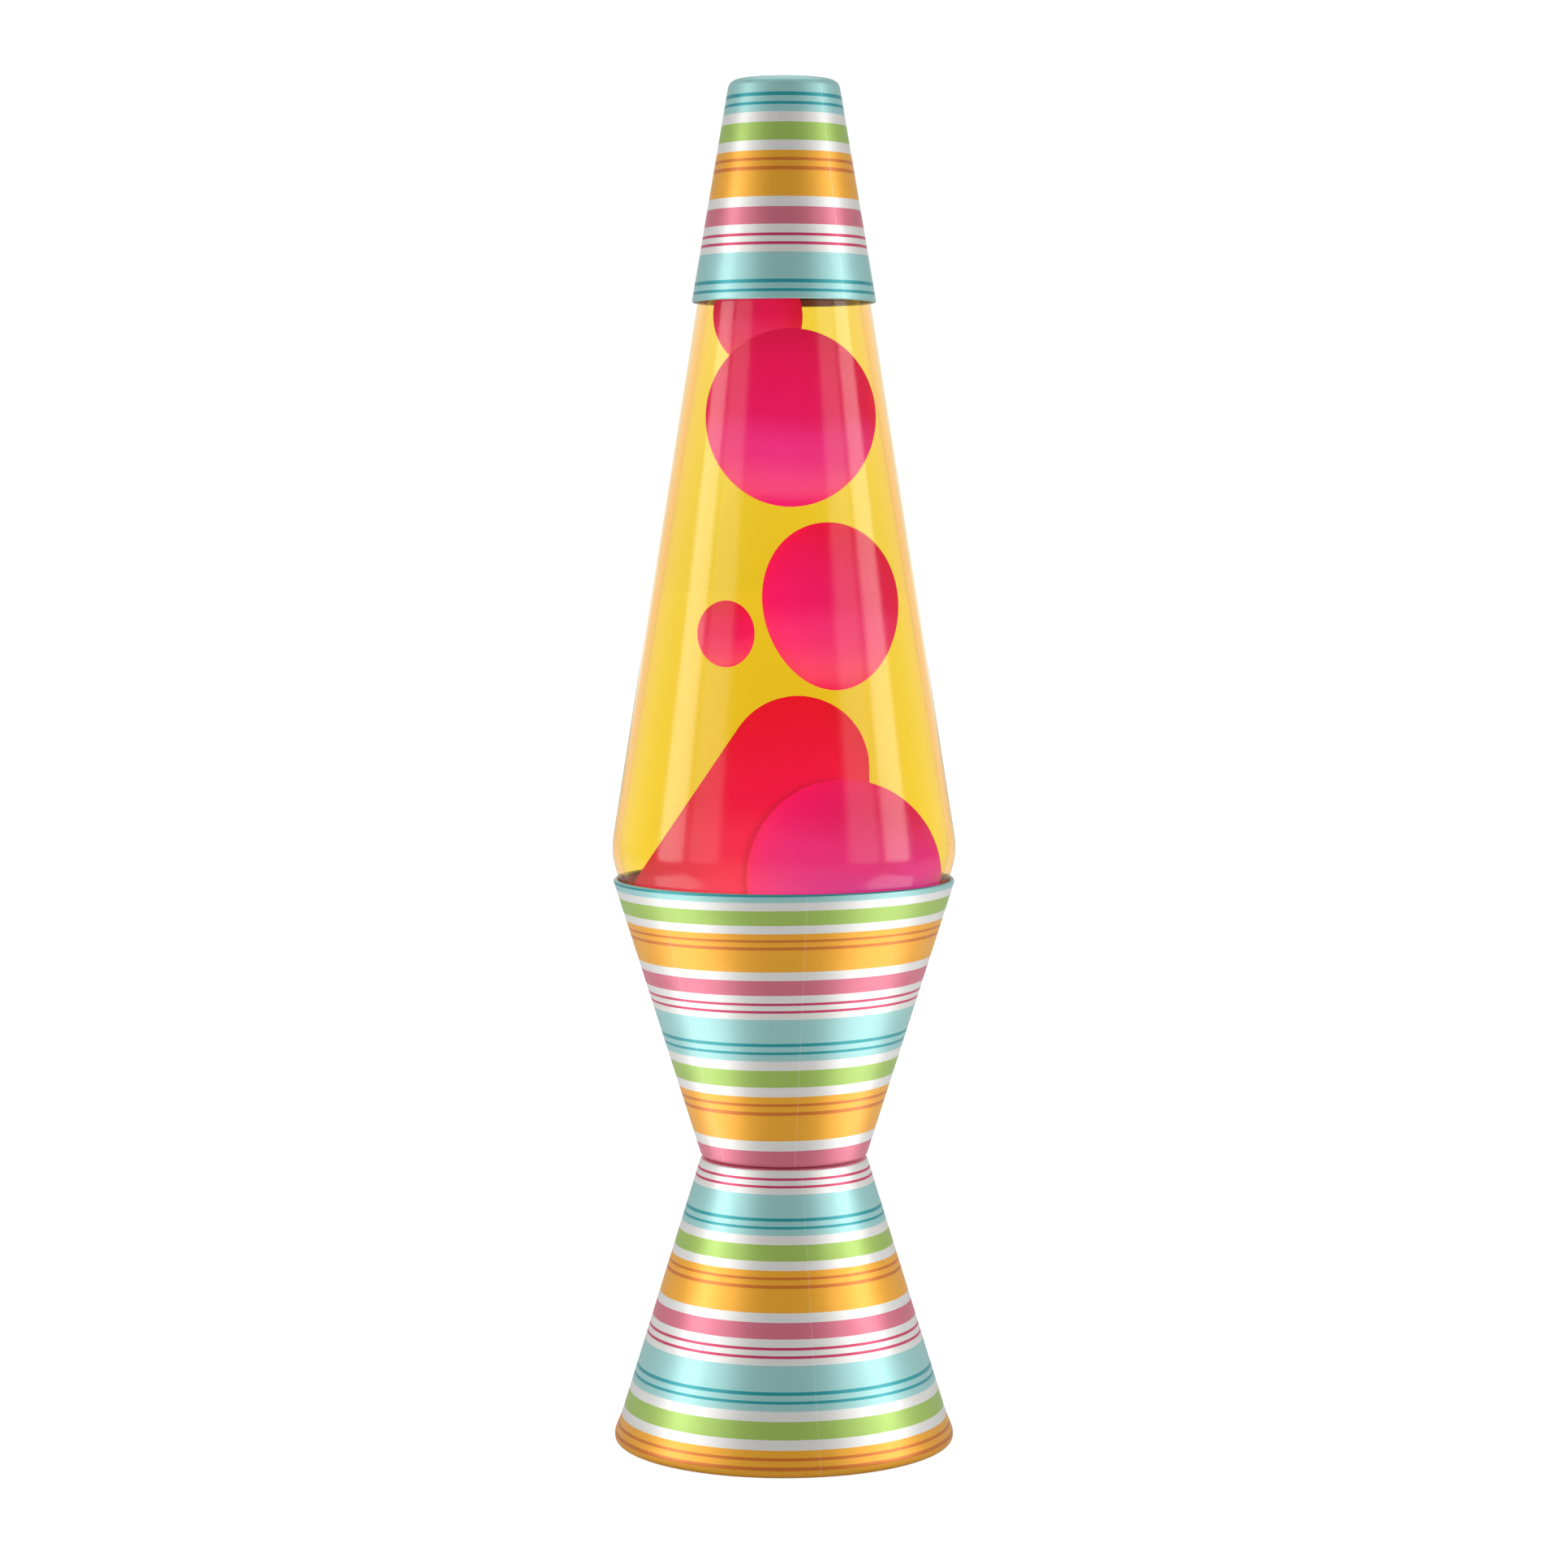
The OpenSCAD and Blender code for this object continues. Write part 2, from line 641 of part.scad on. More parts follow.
module waist_screws() {
    drive_w = 1;
    color("silver") at_waist_screws() difference() {
        union() {
            tail = floor_z - ear_z + waist_nut_t + screw_tail;
            translate([0, 0, floor_z - tail]) cylinder(r = screw_d / 2, h = tail + 0.5);
            translate([0, 0, floor_z]) rotate_extrude() intersection() {
                translate([0, screw_head_h - screw_head_d * 0.6]) circle(r = screw_head_d * 0.6);
                square([screw_head_d / 2, screw_head_h]);
            }
        }
        for (a = [0, 90]) rotate([0, 0, a])
            translate([-screw_head_d * 0.3, -drive_w / 2, floor_z + screw_head_h - 0.9])
                cube([screw_head_d * 0.6, drive_w, 2]);
    }
}

module waist_nuts() {
    color("silver") at_waist_screws() translate([0, 0, ear_z - waist_nut_t])
        rotate([0, 0, 30]) hex_nut(waist_nut_af, screw_d / 2 + 0.05, waist_nut_t);
}

module socket_body() {
    color("saddlebrown") difference() {
        rotate_extrude() polygon(concat(
            [[pipe_hole_r, socket_z]],
            rounded([
                [pipe_hole_r, socket_z, 0],
                [socket_r, socket_z, 1.2],
                [socket_r, socket_top_z, 1],
                [chamber_r, socket_top_z, 0]
            ]),
            [
                [chamber_r, web_z],
                [0, web_z],
                [0, web_z - web_t],
                [pipe_hole_r, web_z - web_t]
            ]
        ));
        translate([rivet_x, 0, web_z - web_t - 1]) cylinder(r = rivet_r + 0.1, h = web_t + 2);
        for (side = [-1, 1]) {
            translate([-socket_r, side > 0 ? socket_r - terminal_flat : -socket_r - 2, socket_z - 1])
                cube([2 * socket_r, terminal_flat + 2, pipe_seat_h + 1]);
            translate([0, side * (socket_r - terminal_flat), terminal_z]) rotate([side * 90, 0, 0])
                cylinder(r = 1.55, h = 5, $fn = 48);
        }
    }
}

module terminal_screws() {
    color("gold") for (side = [-1, 1])
        translate([0, side * (socket_r - terminal_flat), terminal_z]) rotate([side * -90, 0, 0])
            difference() {
                union() {
                    translate([0, 0, -4]) cylinder(r = 1.5, h = 4.5, $fn = 48);
                    cylinder(r = 2.6, h = 1.4, $fn = 48);
                }
                translate([-3, -0.4, 0.7]) cube([6, 0.8, 2]);
            }
}

module socket_shell() {
    inner = thread(screw_shell_in_r + screw_shell_wave, screw_shell_wave, cap_pitch,
        screw_shell_z, socket_thread_h);
    lip = [[screw_shell_in_r + screw_shell_wave, socket_top_z - 0.8]];
    color("gold") rotate_extrude() sheet(concat(inner, lip), -screw_shell_t);
}

module socket_contact() {
    color("gold") difference() {
        union() {
            translate([-1.2, -2, web_z]) cube([rivet_x + 3.4, 4, contact_t]);
            translate([-1.2, -2, web_z]) cube([contact_t, 4, contact_lift]);
            translate([-1.2, -2, web_z + contact_lift - contact_t]) cube([4.2, 4, contact_t]);
        }
        translate([rivet_x, 0, web_z - 1]) cylinder(r = rivet_r + 0.1, h = 3);
    }
}

module contact_rivet() {
    color("gold") translate([rivet_x, 0, web_z]) union() {
        translate([0, 0, -web_t]) cylinder(r = rivet_r, h = web_t + 1, $fn = 48);
        translate([0, 0, contact_t]) cylinder(r = rivet_r * 1.7, h = 0.7, $fn = 48);
    }
}

module bulb_glass() {
    color("white") rotate_extrude() turned_sheet(bulb_path, bulb_glass_t);
}

module bulb_stem() {
    color("lightcyan") union() {
        rotate_extrude() polygon(rounded([
            [0, stem_z, 0],
            [stem_r, stem_z, 0],
            [stem_r, stem_z + 1.2, 0],
            [2, stem_z + 5, 3],
            [2, stem_top_z, 0],
            [0, stem_top_z, 0]
        ]));
        translate([-3.2, -1.2, stem_top_z - 4]) cube([6.4, 2.4, 4]);
    }
}

module rod(a, b, r) {
    v = b - a;
    translate(a) rotate([0, acos(v.z / norm(v)), atan2(v.y, v.x)])
        cylinder(r = r, h = norm(v), $fn = 24);
}

module lead_wires() {
    color("silver") for (side = [-1, 1]) union() {
        foot = [side * 2.2, 0, stem_top_z - 1];
        bend = [side * 2.2, 0, stem_top_z + 3];
        hook = [side * filament_x, 0, filament_z];
        rod(foot, bend, 0.3);
        translate(bend) sphere(r = 0.36, $fn = 24);
        rod(bend, hook, 0.3);
    }
}

module bulb_filament() {
    rise = 4;
    bow_r = (pow(filament_x, 2) + pow(rise, 2)) / (2 * rise);
    half = asin(filament_x / bow_r);
    color("gray") translate([0, 0, filament_z + 0.55 + rise - bow_r]) rotate([90, 0, 0])
        rotate([0, 0, 90 - half]) rotate_extrude(angle = 2 * half)
            translate([bow_r, 0]) circle(r = 0.5, $fn = 24);
}

module bulb_cap() {
    r = cap_thread_d / 2;
    path = concat(
        [[r - 2, tip_z + 3.4], [r - thread_depth - 0.4, tip_z + 4.2]],
        thread(r, thread_depth, cap_pitch, tip_z + 4.2 + cap_pitch / 2, collar_z - tip_z - 6.4),
        [[bulb_neck_r + 0.1 + cap_sheet, collar_z], [bulb_neck_r + 0.1 + cap_sheet, collar_z + 3.2]]
    );
    color("silver") rotate_extrude() sheet(path, cap_sheet);
}

module bulb_insulator() {
    r = cap_thread_d / 2 - 2 - cap_sheet;
    color("black") rotate_extrude() polygon([
        [tip_r * 0.6, tip_z + tip_h],
        [tip_r + 0.4, tip_z + tip_h],
        [r, tip_z + 3.2],
        [r, tip_z + 5.4],
        [tip_r * 0.6, tip_z + 5.4]
    ]);
}

module bulb_tip() {
    color("silver") rotate_extrude() polygon(rounded([
        [0, tip_z, 0],
        [tip_r, tip_z, 0.9],
        [tip_r, tip_z + tip_h, 0],
        [0, tip_z + tip_h, 0]
    ]));
}

module globe_glass() {
    color("moccasin", 0.4) rotate_extrude() polygon(concat(
        globe_path,
        reversed(globe_inner_path)
    ));
}

module crown_cap() {
    skirt_r = crown_r - flute_depth;
    steps = crown_flutes * 8;
    outline = [for (i = [0 : steps - 1])
        (skirt_r + flute_depth / 2 * (1 + cos(i * 45))) * [cos(360 * i / steps), sin(360 * i / steps)]];
    color("gold") difference() {
        union() {
            translate([0, 0, crown_z]) linear_extrude(crown_h - crown_round_h) polygon(outline);
            translate([0, 0, crown_top_z - crown_round_h]) rotate_extrude() polygon(rounded([
                [0, -0.01, 0],
                [skirt_r, -0.01, 0],
                [skirt_r, crown_round_h, crown_round_h * 0.7],
                [0, crown_round_h, 0]
            ]));
        }
        translate([0, 0, crown_z - 1]) cylinder(r = skirt_r - crown_t + 0.1, h = crown_h - crown_t + 1);
    }
}

module crown_liner() {
    color("whitesmoke") translate([0, 0, lip_z])
        cylinder(r = min(finish_r, crown_r - flute_depth - 1.5), h = liner_t);
}

// The space inside the glass up to a level, kept a little off the wall
module inside_globe(level) {
    inner = beside(globe_inner_path, wall_gap);
    kept = [for (p = inner) if (p.y < level && p.x >= 0) p];
    last = len(kept) - 1;
    edge = [for (i = [last : len(inner) - 2])
        if (inner[i].y < level && inner[i + 1].y >= level) crossing(inner[i], inner[i + 1], level)];
    rotate_extrude() polygon(concat(
        [[0, globe_z + punt_h + glass_t + wall_gap]],
        [for (p = kept) if (p.x > 0.5) p],
        [edge[0], [0, level]]
    ));
}

// A body of revolution with half-height h, widest radius r and a narrower lower end
module egg(r, h, narrow) {
    rotate_extrude() polygon([for (i = [0 : 20])
        let (a = -90 + 9 * i)
        [max(0, r * cos(a) * (1 + narrow * sin(a))), h * sin(a)]]);
}

module pebble(r, depth) {
    rotate([90, 0, 0]) egg(r, depth, 0);
}

module wax_hills() {
    union() {
        translate([hill_x, hill_y, hill_z]) rotate([0, hill_angle, 0]) union() {
            sphere(r = hill_fit_r);
            rotate_extrude() polygon([
                [0, hill_fit_r * sin(hill_angle)],
                [hill_fit_r * cos(hill_angle), hill_fit_r * sin(hill_angle)],
                [hill_fit_r * cos(hill_angle) + 62 * tan(hill_angle), hill_fit_r * sin(hill_angle) - 62],
                [0, hill_fit_r * sin(hill_angle) - 62]
            ]);
        }
        translate([dome_x, dome_y, dome_z]) sphere(r = dome_r);
    }
}

// Everything below the level of the pool
module below_pool() {
    translate([0, 0, globe_z - 10]) cylinder(r = rim_d, h = pool_z - globe_z + 10);
}

module wax_pool() {
    color("crimson") difference() {
        intersection() {
            inside_globe(liquid_z);
            union() {
                below_pool();
                wax_hills();
            }
        }
        translate([0, 0, coil_z]) rotate_extrude() translate([coil_ring_r, 0])
            circle(r = coil_turn_r + coil_wire_d / 2 + 0.15);
    }
}

module wax_blob_large(grow = 0) {
    color("crimson") translate([large_x, large_y, large_z])
        pebble(large_fit_r + grow, large_depth + grow);
}

module wax_blob_top(grow = 0) {
    color("crimson") translate([top_x, top_y, top_z_mid]) rotate([0, 0, top_turn])
        pebble(top_fit_r + grow, top_depth + grow);
}

module wax_blob_middle(grow = 0) {
    color("crimson") translate([middle_x, 0, middle_z]) rotate([0, -middle_tilt, 0])
        egg(middle_r + grow, middle_half_h * wax_stretch + grow, 0.1);
}

module wax_blob_small(grow = 0) {
    color("crimson") translate([small_x, 0, small_z]) egg(small_r + grow, small_half_h * wax_stretch + grow, 0.03);
}

module liquid() {
    color("gold", 0.5) difference() {
        inside_globe(liquid_z);
        below_pool();
        wax_hills();
        wax_blob_large(wax_gap);
        wax_blob_top(wax_gap);
        wax_blob_middle(wax_gap);
        wax_blob_small(wax_gap);
    }
}

// A wire wound round a ring: the path's points, then a tube of six sides along them
module heater_coil() {
    sides = 6;
    per_turn = 8;
    count = coil_turns * per_turn;
    function on_coil(i) =
        let (a = 360 * i / count, b = 360 * i / per_turn)
        [(coil_ring_r + coil_turn_r * cos(b)) * cos(a),
         (coil_ring_r + coil_turn_r * cos(b)) * sin(a),
         coil_z + coil_turn_r * sin(b)];
    function frame(i) =
        let (
            a = 360 * i / count,
            out = [cos(a), sin(a), 0],
            b = 360 * i / per_turn,
            u = out * cos(b) + [0, 0, sin(b)],
            w = unit(cross(unit(on_coil(i + 1) - on_coil(i - 1)), u))
        )
        [u, w];
    points = [for (i = [0 : count - 1]) let (f = frame(i)) for (s = [0 : sides - 1])
        on_coil(i) + coil_wire_d / 2 * (f[0] * cos(360 * s / sides) + f[1] * sin(360 * s / sides))];
    faces = [for (i = [0 : count - 1]) for (s = [0 : sides - 1])
        let (j = (i + 1) % count, t = (s + 1) % sides)
        [i * sides + s, i * sides + t, j * sides + t, j * sides + s]];
    color("silver") polyhedron(points, [for (f = faces) each [[f[0], f[1], f[2]], [f[0], f[2], f[3]]]]);
}

module cap() {
    color("lightseagreen") rotate_extrude()
        polygon(hemmed(cap_path, cap_hem_out_r, hem_z, cap_hem_r, cap_sheet_t, -1));
}

lower_shell();
upper_shell();
base_plate();
feet();
cord_grommet();
lamp_pipe();
pipe_nuts();
pipe_washer();
socket_bracket();
waist_screws();
waist_nuts();
socket_body();
socket_shell();
socket_contact();
contact_rivet();
terminal_screws();
bulb_glass();
bulb_stem();
lead_wires();
bulb_filament();
bulb_cap();
bulb_insulator();
bulb_tip();
globe_glass();
crown_cap();
crown_liner();
liquid();
wax_pool();
heater_coil();
wax_blob_large();
wax_blob_top();
wax_blob_middle();
wax_blob_small();
cap();
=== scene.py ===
"""Lava lamp: striped metal shells, a glass globe of yellow liquid and crimson wax, and the bulb below.

Sizes are in millimetres until a mesh is made. Heights come from the frame's own boxes.
"""

import json
import logging
import math
from collections.abc import Callable, Iterable, Sequence
from dataclasses import dataclass, field
from enum import Enum

import bpy
from mathutils import Euler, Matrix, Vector


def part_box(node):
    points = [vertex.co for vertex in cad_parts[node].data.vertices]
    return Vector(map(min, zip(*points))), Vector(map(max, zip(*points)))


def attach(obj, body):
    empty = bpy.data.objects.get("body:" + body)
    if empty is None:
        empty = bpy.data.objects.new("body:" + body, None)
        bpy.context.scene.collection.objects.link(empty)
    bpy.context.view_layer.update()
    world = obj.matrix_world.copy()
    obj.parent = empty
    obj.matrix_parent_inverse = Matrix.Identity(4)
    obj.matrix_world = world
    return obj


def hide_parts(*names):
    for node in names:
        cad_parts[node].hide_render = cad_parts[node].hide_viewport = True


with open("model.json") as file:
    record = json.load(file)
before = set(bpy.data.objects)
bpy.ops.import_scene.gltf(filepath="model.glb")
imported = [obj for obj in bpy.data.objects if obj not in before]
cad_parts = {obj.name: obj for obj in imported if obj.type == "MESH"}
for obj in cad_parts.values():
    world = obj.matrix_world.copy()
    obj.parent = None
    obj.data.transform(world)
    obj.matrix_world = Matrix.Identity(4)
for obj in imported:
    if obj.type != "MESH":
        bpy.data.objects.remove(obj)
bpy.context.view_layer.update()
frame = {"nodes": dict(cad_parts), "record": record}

LOG = logging.getLogger("lava_lamp")
MM = 0.001

Point = tuple[float, float]
Corner = tuple[float, float, float]
Colour = tuple[float, float, float]
Socket = bpy.types.NodeSocket
Sockets = dict[str, Socket]
Value = float | Socket | Sequence[float]


def linear(red: int, green: int, blue: int) -> Colour:
    """Turns an 8-bit screen colour into the linear colour that shaders use.

    Args:
        red: Red, 0 to 255.
        green: Green, 0 to 255.
        blue: Blue, 0 to 255.

    Returns:
        The linear colour.
    """

    def channel(value: int) -> float:
        """Undoes the screen's curve for one channel."""
        part = value / 255
        return part / 12.92 if part <= 0.04045 else ((part + 0.055) / 1.055) ** 2.4

    return channel(red), channel(green), channel(blue)


# ---------------------------------------------------------------------------
# Outlines
# ---------------------------------------------------------------------------


def rounded(corners: Sequence[Corner]) -> list[Point]:
    """Makes a path with rounded corners.

    Args:
        corners: Radius, height and corner radius of each point.

    Returns:
        The path's points.
    """
    path: list[Point] = []
    for i, (x, z, radius) in enumerate(corners):
        if radius == 0 or i in (0, len(corners) - 1):
            path.append((x, z))
            continue
        here = Vector((x, z))
        back = (Vector(corners[i - 1][:2]) - here).normalized()
        ahead = (Vector(corners[i + 1][:2]) - here).normalized()
        half = back.angle(ahead) / 2
        middle = here + (back + ahead).normalized() * radius / math.sin(half)
        first = here + back * radius / math.tan(half) - middle
        last = here + ahead * radius / math.tan(half) - middle
        start = math.atan2(first.y, first.x)
        sweep = math.atan2(last.y, last.x) - start
        sweep = (sweep + math.pi) % (2 * math.pi) - math.pi
        steps = max(3, math.ceil(abs(sweep) / math.radians(7)))
        for k in range(steps + 1):
            turn = start + sweep * k / steps
            path.append((middle.x + radius * math.cos(turn), middle.y + radius * math.sin(turn)))
    return path


def beside(path: Sequence[Point], gap: float) -> list[Point]:
    """Moves a path sideways to its left.

    Args:
        path: The path's points.
        gap: How far it moves; a negative gap moves it to its right.

    Returns:
        The moved path, never across the axis.
    """

    def left(a: Point, b: Point) -> Vector:
        """Direction to the left of a stretch."""
        run = (Vector(b) - Vector(a)).normalized()
        return Vector((-run.y, run.x))

    moved: list[Point] = []
    for i, here in enumerate(path):
        before = left(path[max(i - 1, 0)], path[max(i, 1)])
        after = left(path[min(i, len(path) - 2)], path[min(i + 1, len(path) - 1)])
        mid = (before + after).normalized()
        place = Vector(here) + mid * gap / max(mid.dot(before), 0.3)
        moved.append((max(place.x, 0.0), place.y))
    return moved


def hemmed(wall: Sequence[Point], edge_r: float, edge_z: float, bead: float, thick: float) -> list[Point]:
    """Makes the closed outline of a sheet that ends in a bead rolled inwards.

    Args:
        wall: Outer outline of the sheet, up to where the bead begins.
        edge_r: Outer radius at the bead.
        edge_z: Height of the bead's end.
        bead: Radius of the bead.
        thick: Thickness of the sheet; positive where the inside is on the path's left.

    Returns:
        The outline's points.
    """
    last = wall[-1]
    roll = rounded(
        [
            (last[0], last[1], 0),
            (edge_r, edge_z, bead * 0.98),
            (edge_r - 2 * bead, edge_z, bead * 0.98),
            (last[0] - abs(thick), last[1], 0),
        ]
    )
    return [*wall, *roll[1:], *reversed(beside(wall, thick)[:-1])]


# ---------------------------------------------------------------------------
# Mesh work
# ---------------------------------------------------------------------------


class Bench:
    """One mesh on the bench, shaped with the edit operators."""

    def __init__(self, piece: bpy.types.Object) -> None:
        """Takes a mesh object to work on."""
        self.piece = piece

    @staticmethod
    def clear() -> None:
        """Leaves edit mode and deselects everything."""
        if bpy.context.object and bpy.context.object.mode != "OBJECT":
            bpy.ops.object.mode_set(mode="OBJECT")
        bpy.ops.object.select_all(action="DESELECT")

    @classmethod
    def take(cls, piece: bpy.types.Object) -> "Bench":
        """Selects one object alone and makes it active."""
        cls.clear()
        piece.select_set(True)
        bpy.context.view_layer.objects.active = piece
        return cls(piece)

    @classmethod
    def wire(cls, name: str, path: Sequence[Point]) -> "Bench":
        """Draws a path in the XZ plane, a vertex at a time.

        Args:
            name: Name of the new piece.
            path: Radius and height of each point, in millimetres.

        Returns:
            The bench, with the wire in edit mode, all selected.
        """
        cls.clear()
        bpy.ops.mesh.primitive_plane_add(size=MM)
        piece = bpy.context.object
        piece.name = piece.data.name = name
        bpy.ops.object.mode_set(mode="EDIT")
        bpy.ops.mesh.merge(type="CENTER")
        bpy.ops.transform.translate(value=(path[0][0] * MM, 0, path[0][1] * MM))
        for (x0, z0), (x1, z1) in zip(path, path[1:]):
            step = ((x1 - x0) * MM, 0, (z1 - z0) * MM)
            bpy.ops.mesh.extrude_vertices_move(TRANSFORM_OT_translate={"value": step})
        bpy.ops.mesh.select_all(action="SELECT")
        return cls(piece)

    @classmethod
    def turned(cls, name: str, outline: Sequence[Point], steps: int = 160) -> "Bench":
        """Turns an outline about the lamp's axis.

        Args:
            name: Name of the new piece.
            outline: Radius and height of each point; the last joins the first.
            steps: Number of faces round the axis.

        Returns:
            The bench, back in object mode.
        """
        bench = cls.wire(name, [*outline, outline[0]])
        bpy.ops.mesh.remove_doubles(threshold=MM * 1e-3)
        bpy.ops.mesh.spin(steps=steps, angle=2 * math.pi, center=(0, 0, 0), axis=(0, 0, 1))
        return bench.closed_up()

    def edit(self) -> "Bench":
        """Goes into edit mode with everything selected."""
        Bench.take(self.piece)
        bpy.ops.object.mode_set(mode="EDIT")
        bpy.ops.mesh.select_all(action="SELECT")
        return self

    def closed_up(self, gap: float = 2e-3) -> "Bench":
        """Merges doubles, turns faces outwards and leaves edit mode.

        Args:
            gap: Distance within which vertices are one, in millimetres.

        Returns:
            The bench.
        """
        bpy.ops.mesh.select_all(action="SELECT")
        bpy.ops.mesh.remove_doubles(threshold=gap * MM)
        bpy.ops.mesh.normals_make_consistent(inside=False)
        bpy.ops.object.mode_set(mode="OBJECT")
        return self

    def pick(self, test: Callable[[Vector], bool]) -> "Bench":
        """Selects vertices by place.

        Args:
            test: Says whether a place, in metres, is wanted.

        Returns:
            The bench, in edit mode.
        """
        Bench.take(self.piece)
        bpy.ops.object.mode_set(mode="EDIT")
        bpy.ops.mesh.select_mode(type="VERT")
        bpy.ops.mesh.select_all(action="DESELECT")
        bpy.ops.object.mode_set(mode="OBJECT")
        for vertex in self.piece.data.vertices:
            vertex.select = test(vertex.co)
        bpy.ops.object.mode_set(mode="EDIT")
        return self

    def modify(self, kind: str, **settings: object) -> "Bench":
        """Adds a modifier and applies it.

        Args:
            kind: The modifier's type.
            **settings: Its settings.

        Returns:
            The bench.
        """
        Bench.take(self.piece)
        change = self.piece.modifiers.new(kind.title(), kind)
        for key, value in settings.items():
            setattr(change, key, value)
        bpy.ops.object.modifier_apply(modifier=change.name)
        return self

    def cut(self, other: "Bench", operation: str) -> "Bench":
        """Applies a boolean with another bench's piece, and deletes that piece.

        Args:
            other: The bench that holds the other piece.
            operation: DIFFERENCE or INTERSECT.

        Returns:
            The bench.
        """
        self.modify("BOOLEAN", operation=operation, object=other.piece, solver="EXACT")
        bpy.data.objects.remove(other.piece)
        return self

    def placed(self, at: Sequence[float], turn: Sequence[float] = (0, 0, 0)) -> "Bench":
        """Turns the piece about the origin, moves it, and puts its place into its mesh.

        Args:
            at: Where it goes, in millimetres.
            turn: Its turn about X, Y and Z, in degrees.

        Returns:
            The bench.
        """
        Bench.take(self.piece)
        self.piece.rotation_euler = Euler([math.radians(a) for a in turn])
        self.piece.location = Vector(at) * MM
        bpy.ops.object.transform_apply(location=True, rotation=True, scale=True)
        return self

    def joined(self, others: Iterable["Bench"]) -> "Bench":
        """Joins other benches' pieces into this one."""
        parts = [other.piece for other in others]
        Bench.take(self.piece)
        for part in parts:
            part.select_set(True)
        bpy.ops.object.join()
        return self

    def smooth(self, angle: float = 38) -> "Bench":
        """Shades faces smooth across edges flatter than an angle in degrees."""
        Bench.take(self.piece)
        bpy.ops.object.shade_smooth_by_angle(angle=math.radians(angle))
        return self


def smoothed_node(node: str, angle: float = 32) -> Bench:
    """Copies a CAD node, merges its loose triangles and shades it smooth.

    Args:
        node: Name of the CAD node.
        angle: Edges sharper than this stay sharp, in degrees.

    Returns:
        The bench that holds the copy.
    """
    source = frame["nodes"][node]
    Bench.clear()
    piece = bpy.data.objects.new(f"{node}_detail", source.data.copy())
    bpy.context.scene.collection.objects.link(piece)
    piece.data.materials.clear()
    bench = Bench(piece).edit()
    bpy.ops.mesh.remove_doubles(threshold=1e-3 * MM)
    bpy.ops.object.mode_set(mode="OBJECT")
    return bench.smooth(angle)


# ---------------------------------------------------------------------------
# Shader nodes
# ---------------------------------------------------------------------------

class Graph:
    """Adds and joins nodes in one shader tree."""

    def __init__(self, tree: bpy.types.NodeTree) -> None:
        """Takes the tree to work in."""
        self.tree = tree

    def add(self, kind: str, settings: dict[str, object] | None = None, **inputs: Value) -> bpy.types.Node:
        """Adds a node.

        Args:
            kind: Its type, without the ShaderNode prefix.
            settings: Its properties.
            **inputs: Values or sockets for its inputs, by name with spaces as underscores.

        Returns:
            The node.
        """
        node = self.tree.nodes.new(f"ShaderNode{kind}")
        for key, value in (settings or {}).items():
            setattr(node, key, value)
        for key, value in inputs.items():
            self.feed(node.inputs[key.replace("_", " ")], value)
        return node

    def feed(self, socket: Socket, value: Value) -> None:
        """Links a socket, or sets its own value."""
        if isinstance(value, Socket):
            self.tree.links.new(value, socket)
        elif isinstance(value, (int, float)):
            socket.default_value = value
        else:
            full = tuple(value)
            socket.default_value = (*full, 1.0) if socket.type == "RGBA" and len(full) == 3 else full

    def math(self, kind: str, *values: Value) -> Socket:
        """Adds a Math node and returns its result."""
        node = self.tree.nodes.new("ShaderNodeMath")
        node.operation = kind
        for socket, value in zip(node.inputs, values):
            self.feed(socket, value)
        return node.outputs[0]

    def mix(self, factor: Value, one: Value, two: Value, blend: str = "MIX") -> Socket:
        """Mixes two colours and returns the result."""
        node = self.tree.nodes.new("ShaderNodeMix")
        node.data_type, node.blend_type = "RGBA", blend
        for socket, value in ((node.inputs[0], factor), (node.inputs[6], one), (node.inputs[7], two)):
            self.feed(socket, value)
        return node.outputs[2]

    def ramp(
        self, factor: Value, stops: Sequence[tuple[float, Colour]], crisp: bool = False
    ) -> Socket:
        """Adds a colour ramp and returns its colour."""
        node = self.tree.nodes.new("ShaderNodeValToRGB")
        band = node.color_ramp
        band.interpolation = "CONSTANT" if crisp else "EASE"
        while len(band.elements) < len(stops):
            band.elements.new(0.5)
        for element, (place, colour) in zip(band.elements, stops):
            element.position = place
            element.color = (*colour, 1)
        self.feed(node.inputs[0], factor)
        return node.outputs[0]

    def range(
        self, value: Value, low: float, high: float, to: Point = (0.0, 1.0), smooth: bool = True
    ) -> Socket:
        """Maps a value from one range to another and returns it."""
        node = self.add("MapRange", {"interpolation_type": "SMOOTHSTEP" if smooth else "LINEAR"})
        for socket, given in zip(node.inputs, (value, low, high, to[0], to[1])):
            self.feed(socket, given)
        return node.outputs[0]

    def seen(self) -> Socket:
        """Returns 1 for rays from the camera or through clear bodies, and 0 for the rest."""
        path = self.add("LightPath")
        return self.math("MAXIMUM", path.outputs["Is Camera Ray"], path.outputs["Is Transmission Ray"])

    def place(self) -> Socket:
        """Returns the object coordinates."""
        return self.add("TexCoord").outputs["Object"]

    def split(self, vector: Value) -> tuple[Socket, ...]:
        """Returns a vector's three parts."""
        return tuple(self.add("SeparateXYZ", Vector=vector).outputs)


class Ink(Enum):
    """The lacquer's printed colours."""

    WHITE = (224, 223, 220)
    GREEN = (158, 190, 88)
    ORANGE = (238, 168, 32)
    BURNT = (206, 110, 14)
    ROSE = (208, 108, 130)
    MAGENTA = (196, 44, 92)
    AQUA = (152, 202, 200)
    TEAL = (14, 148, 156)


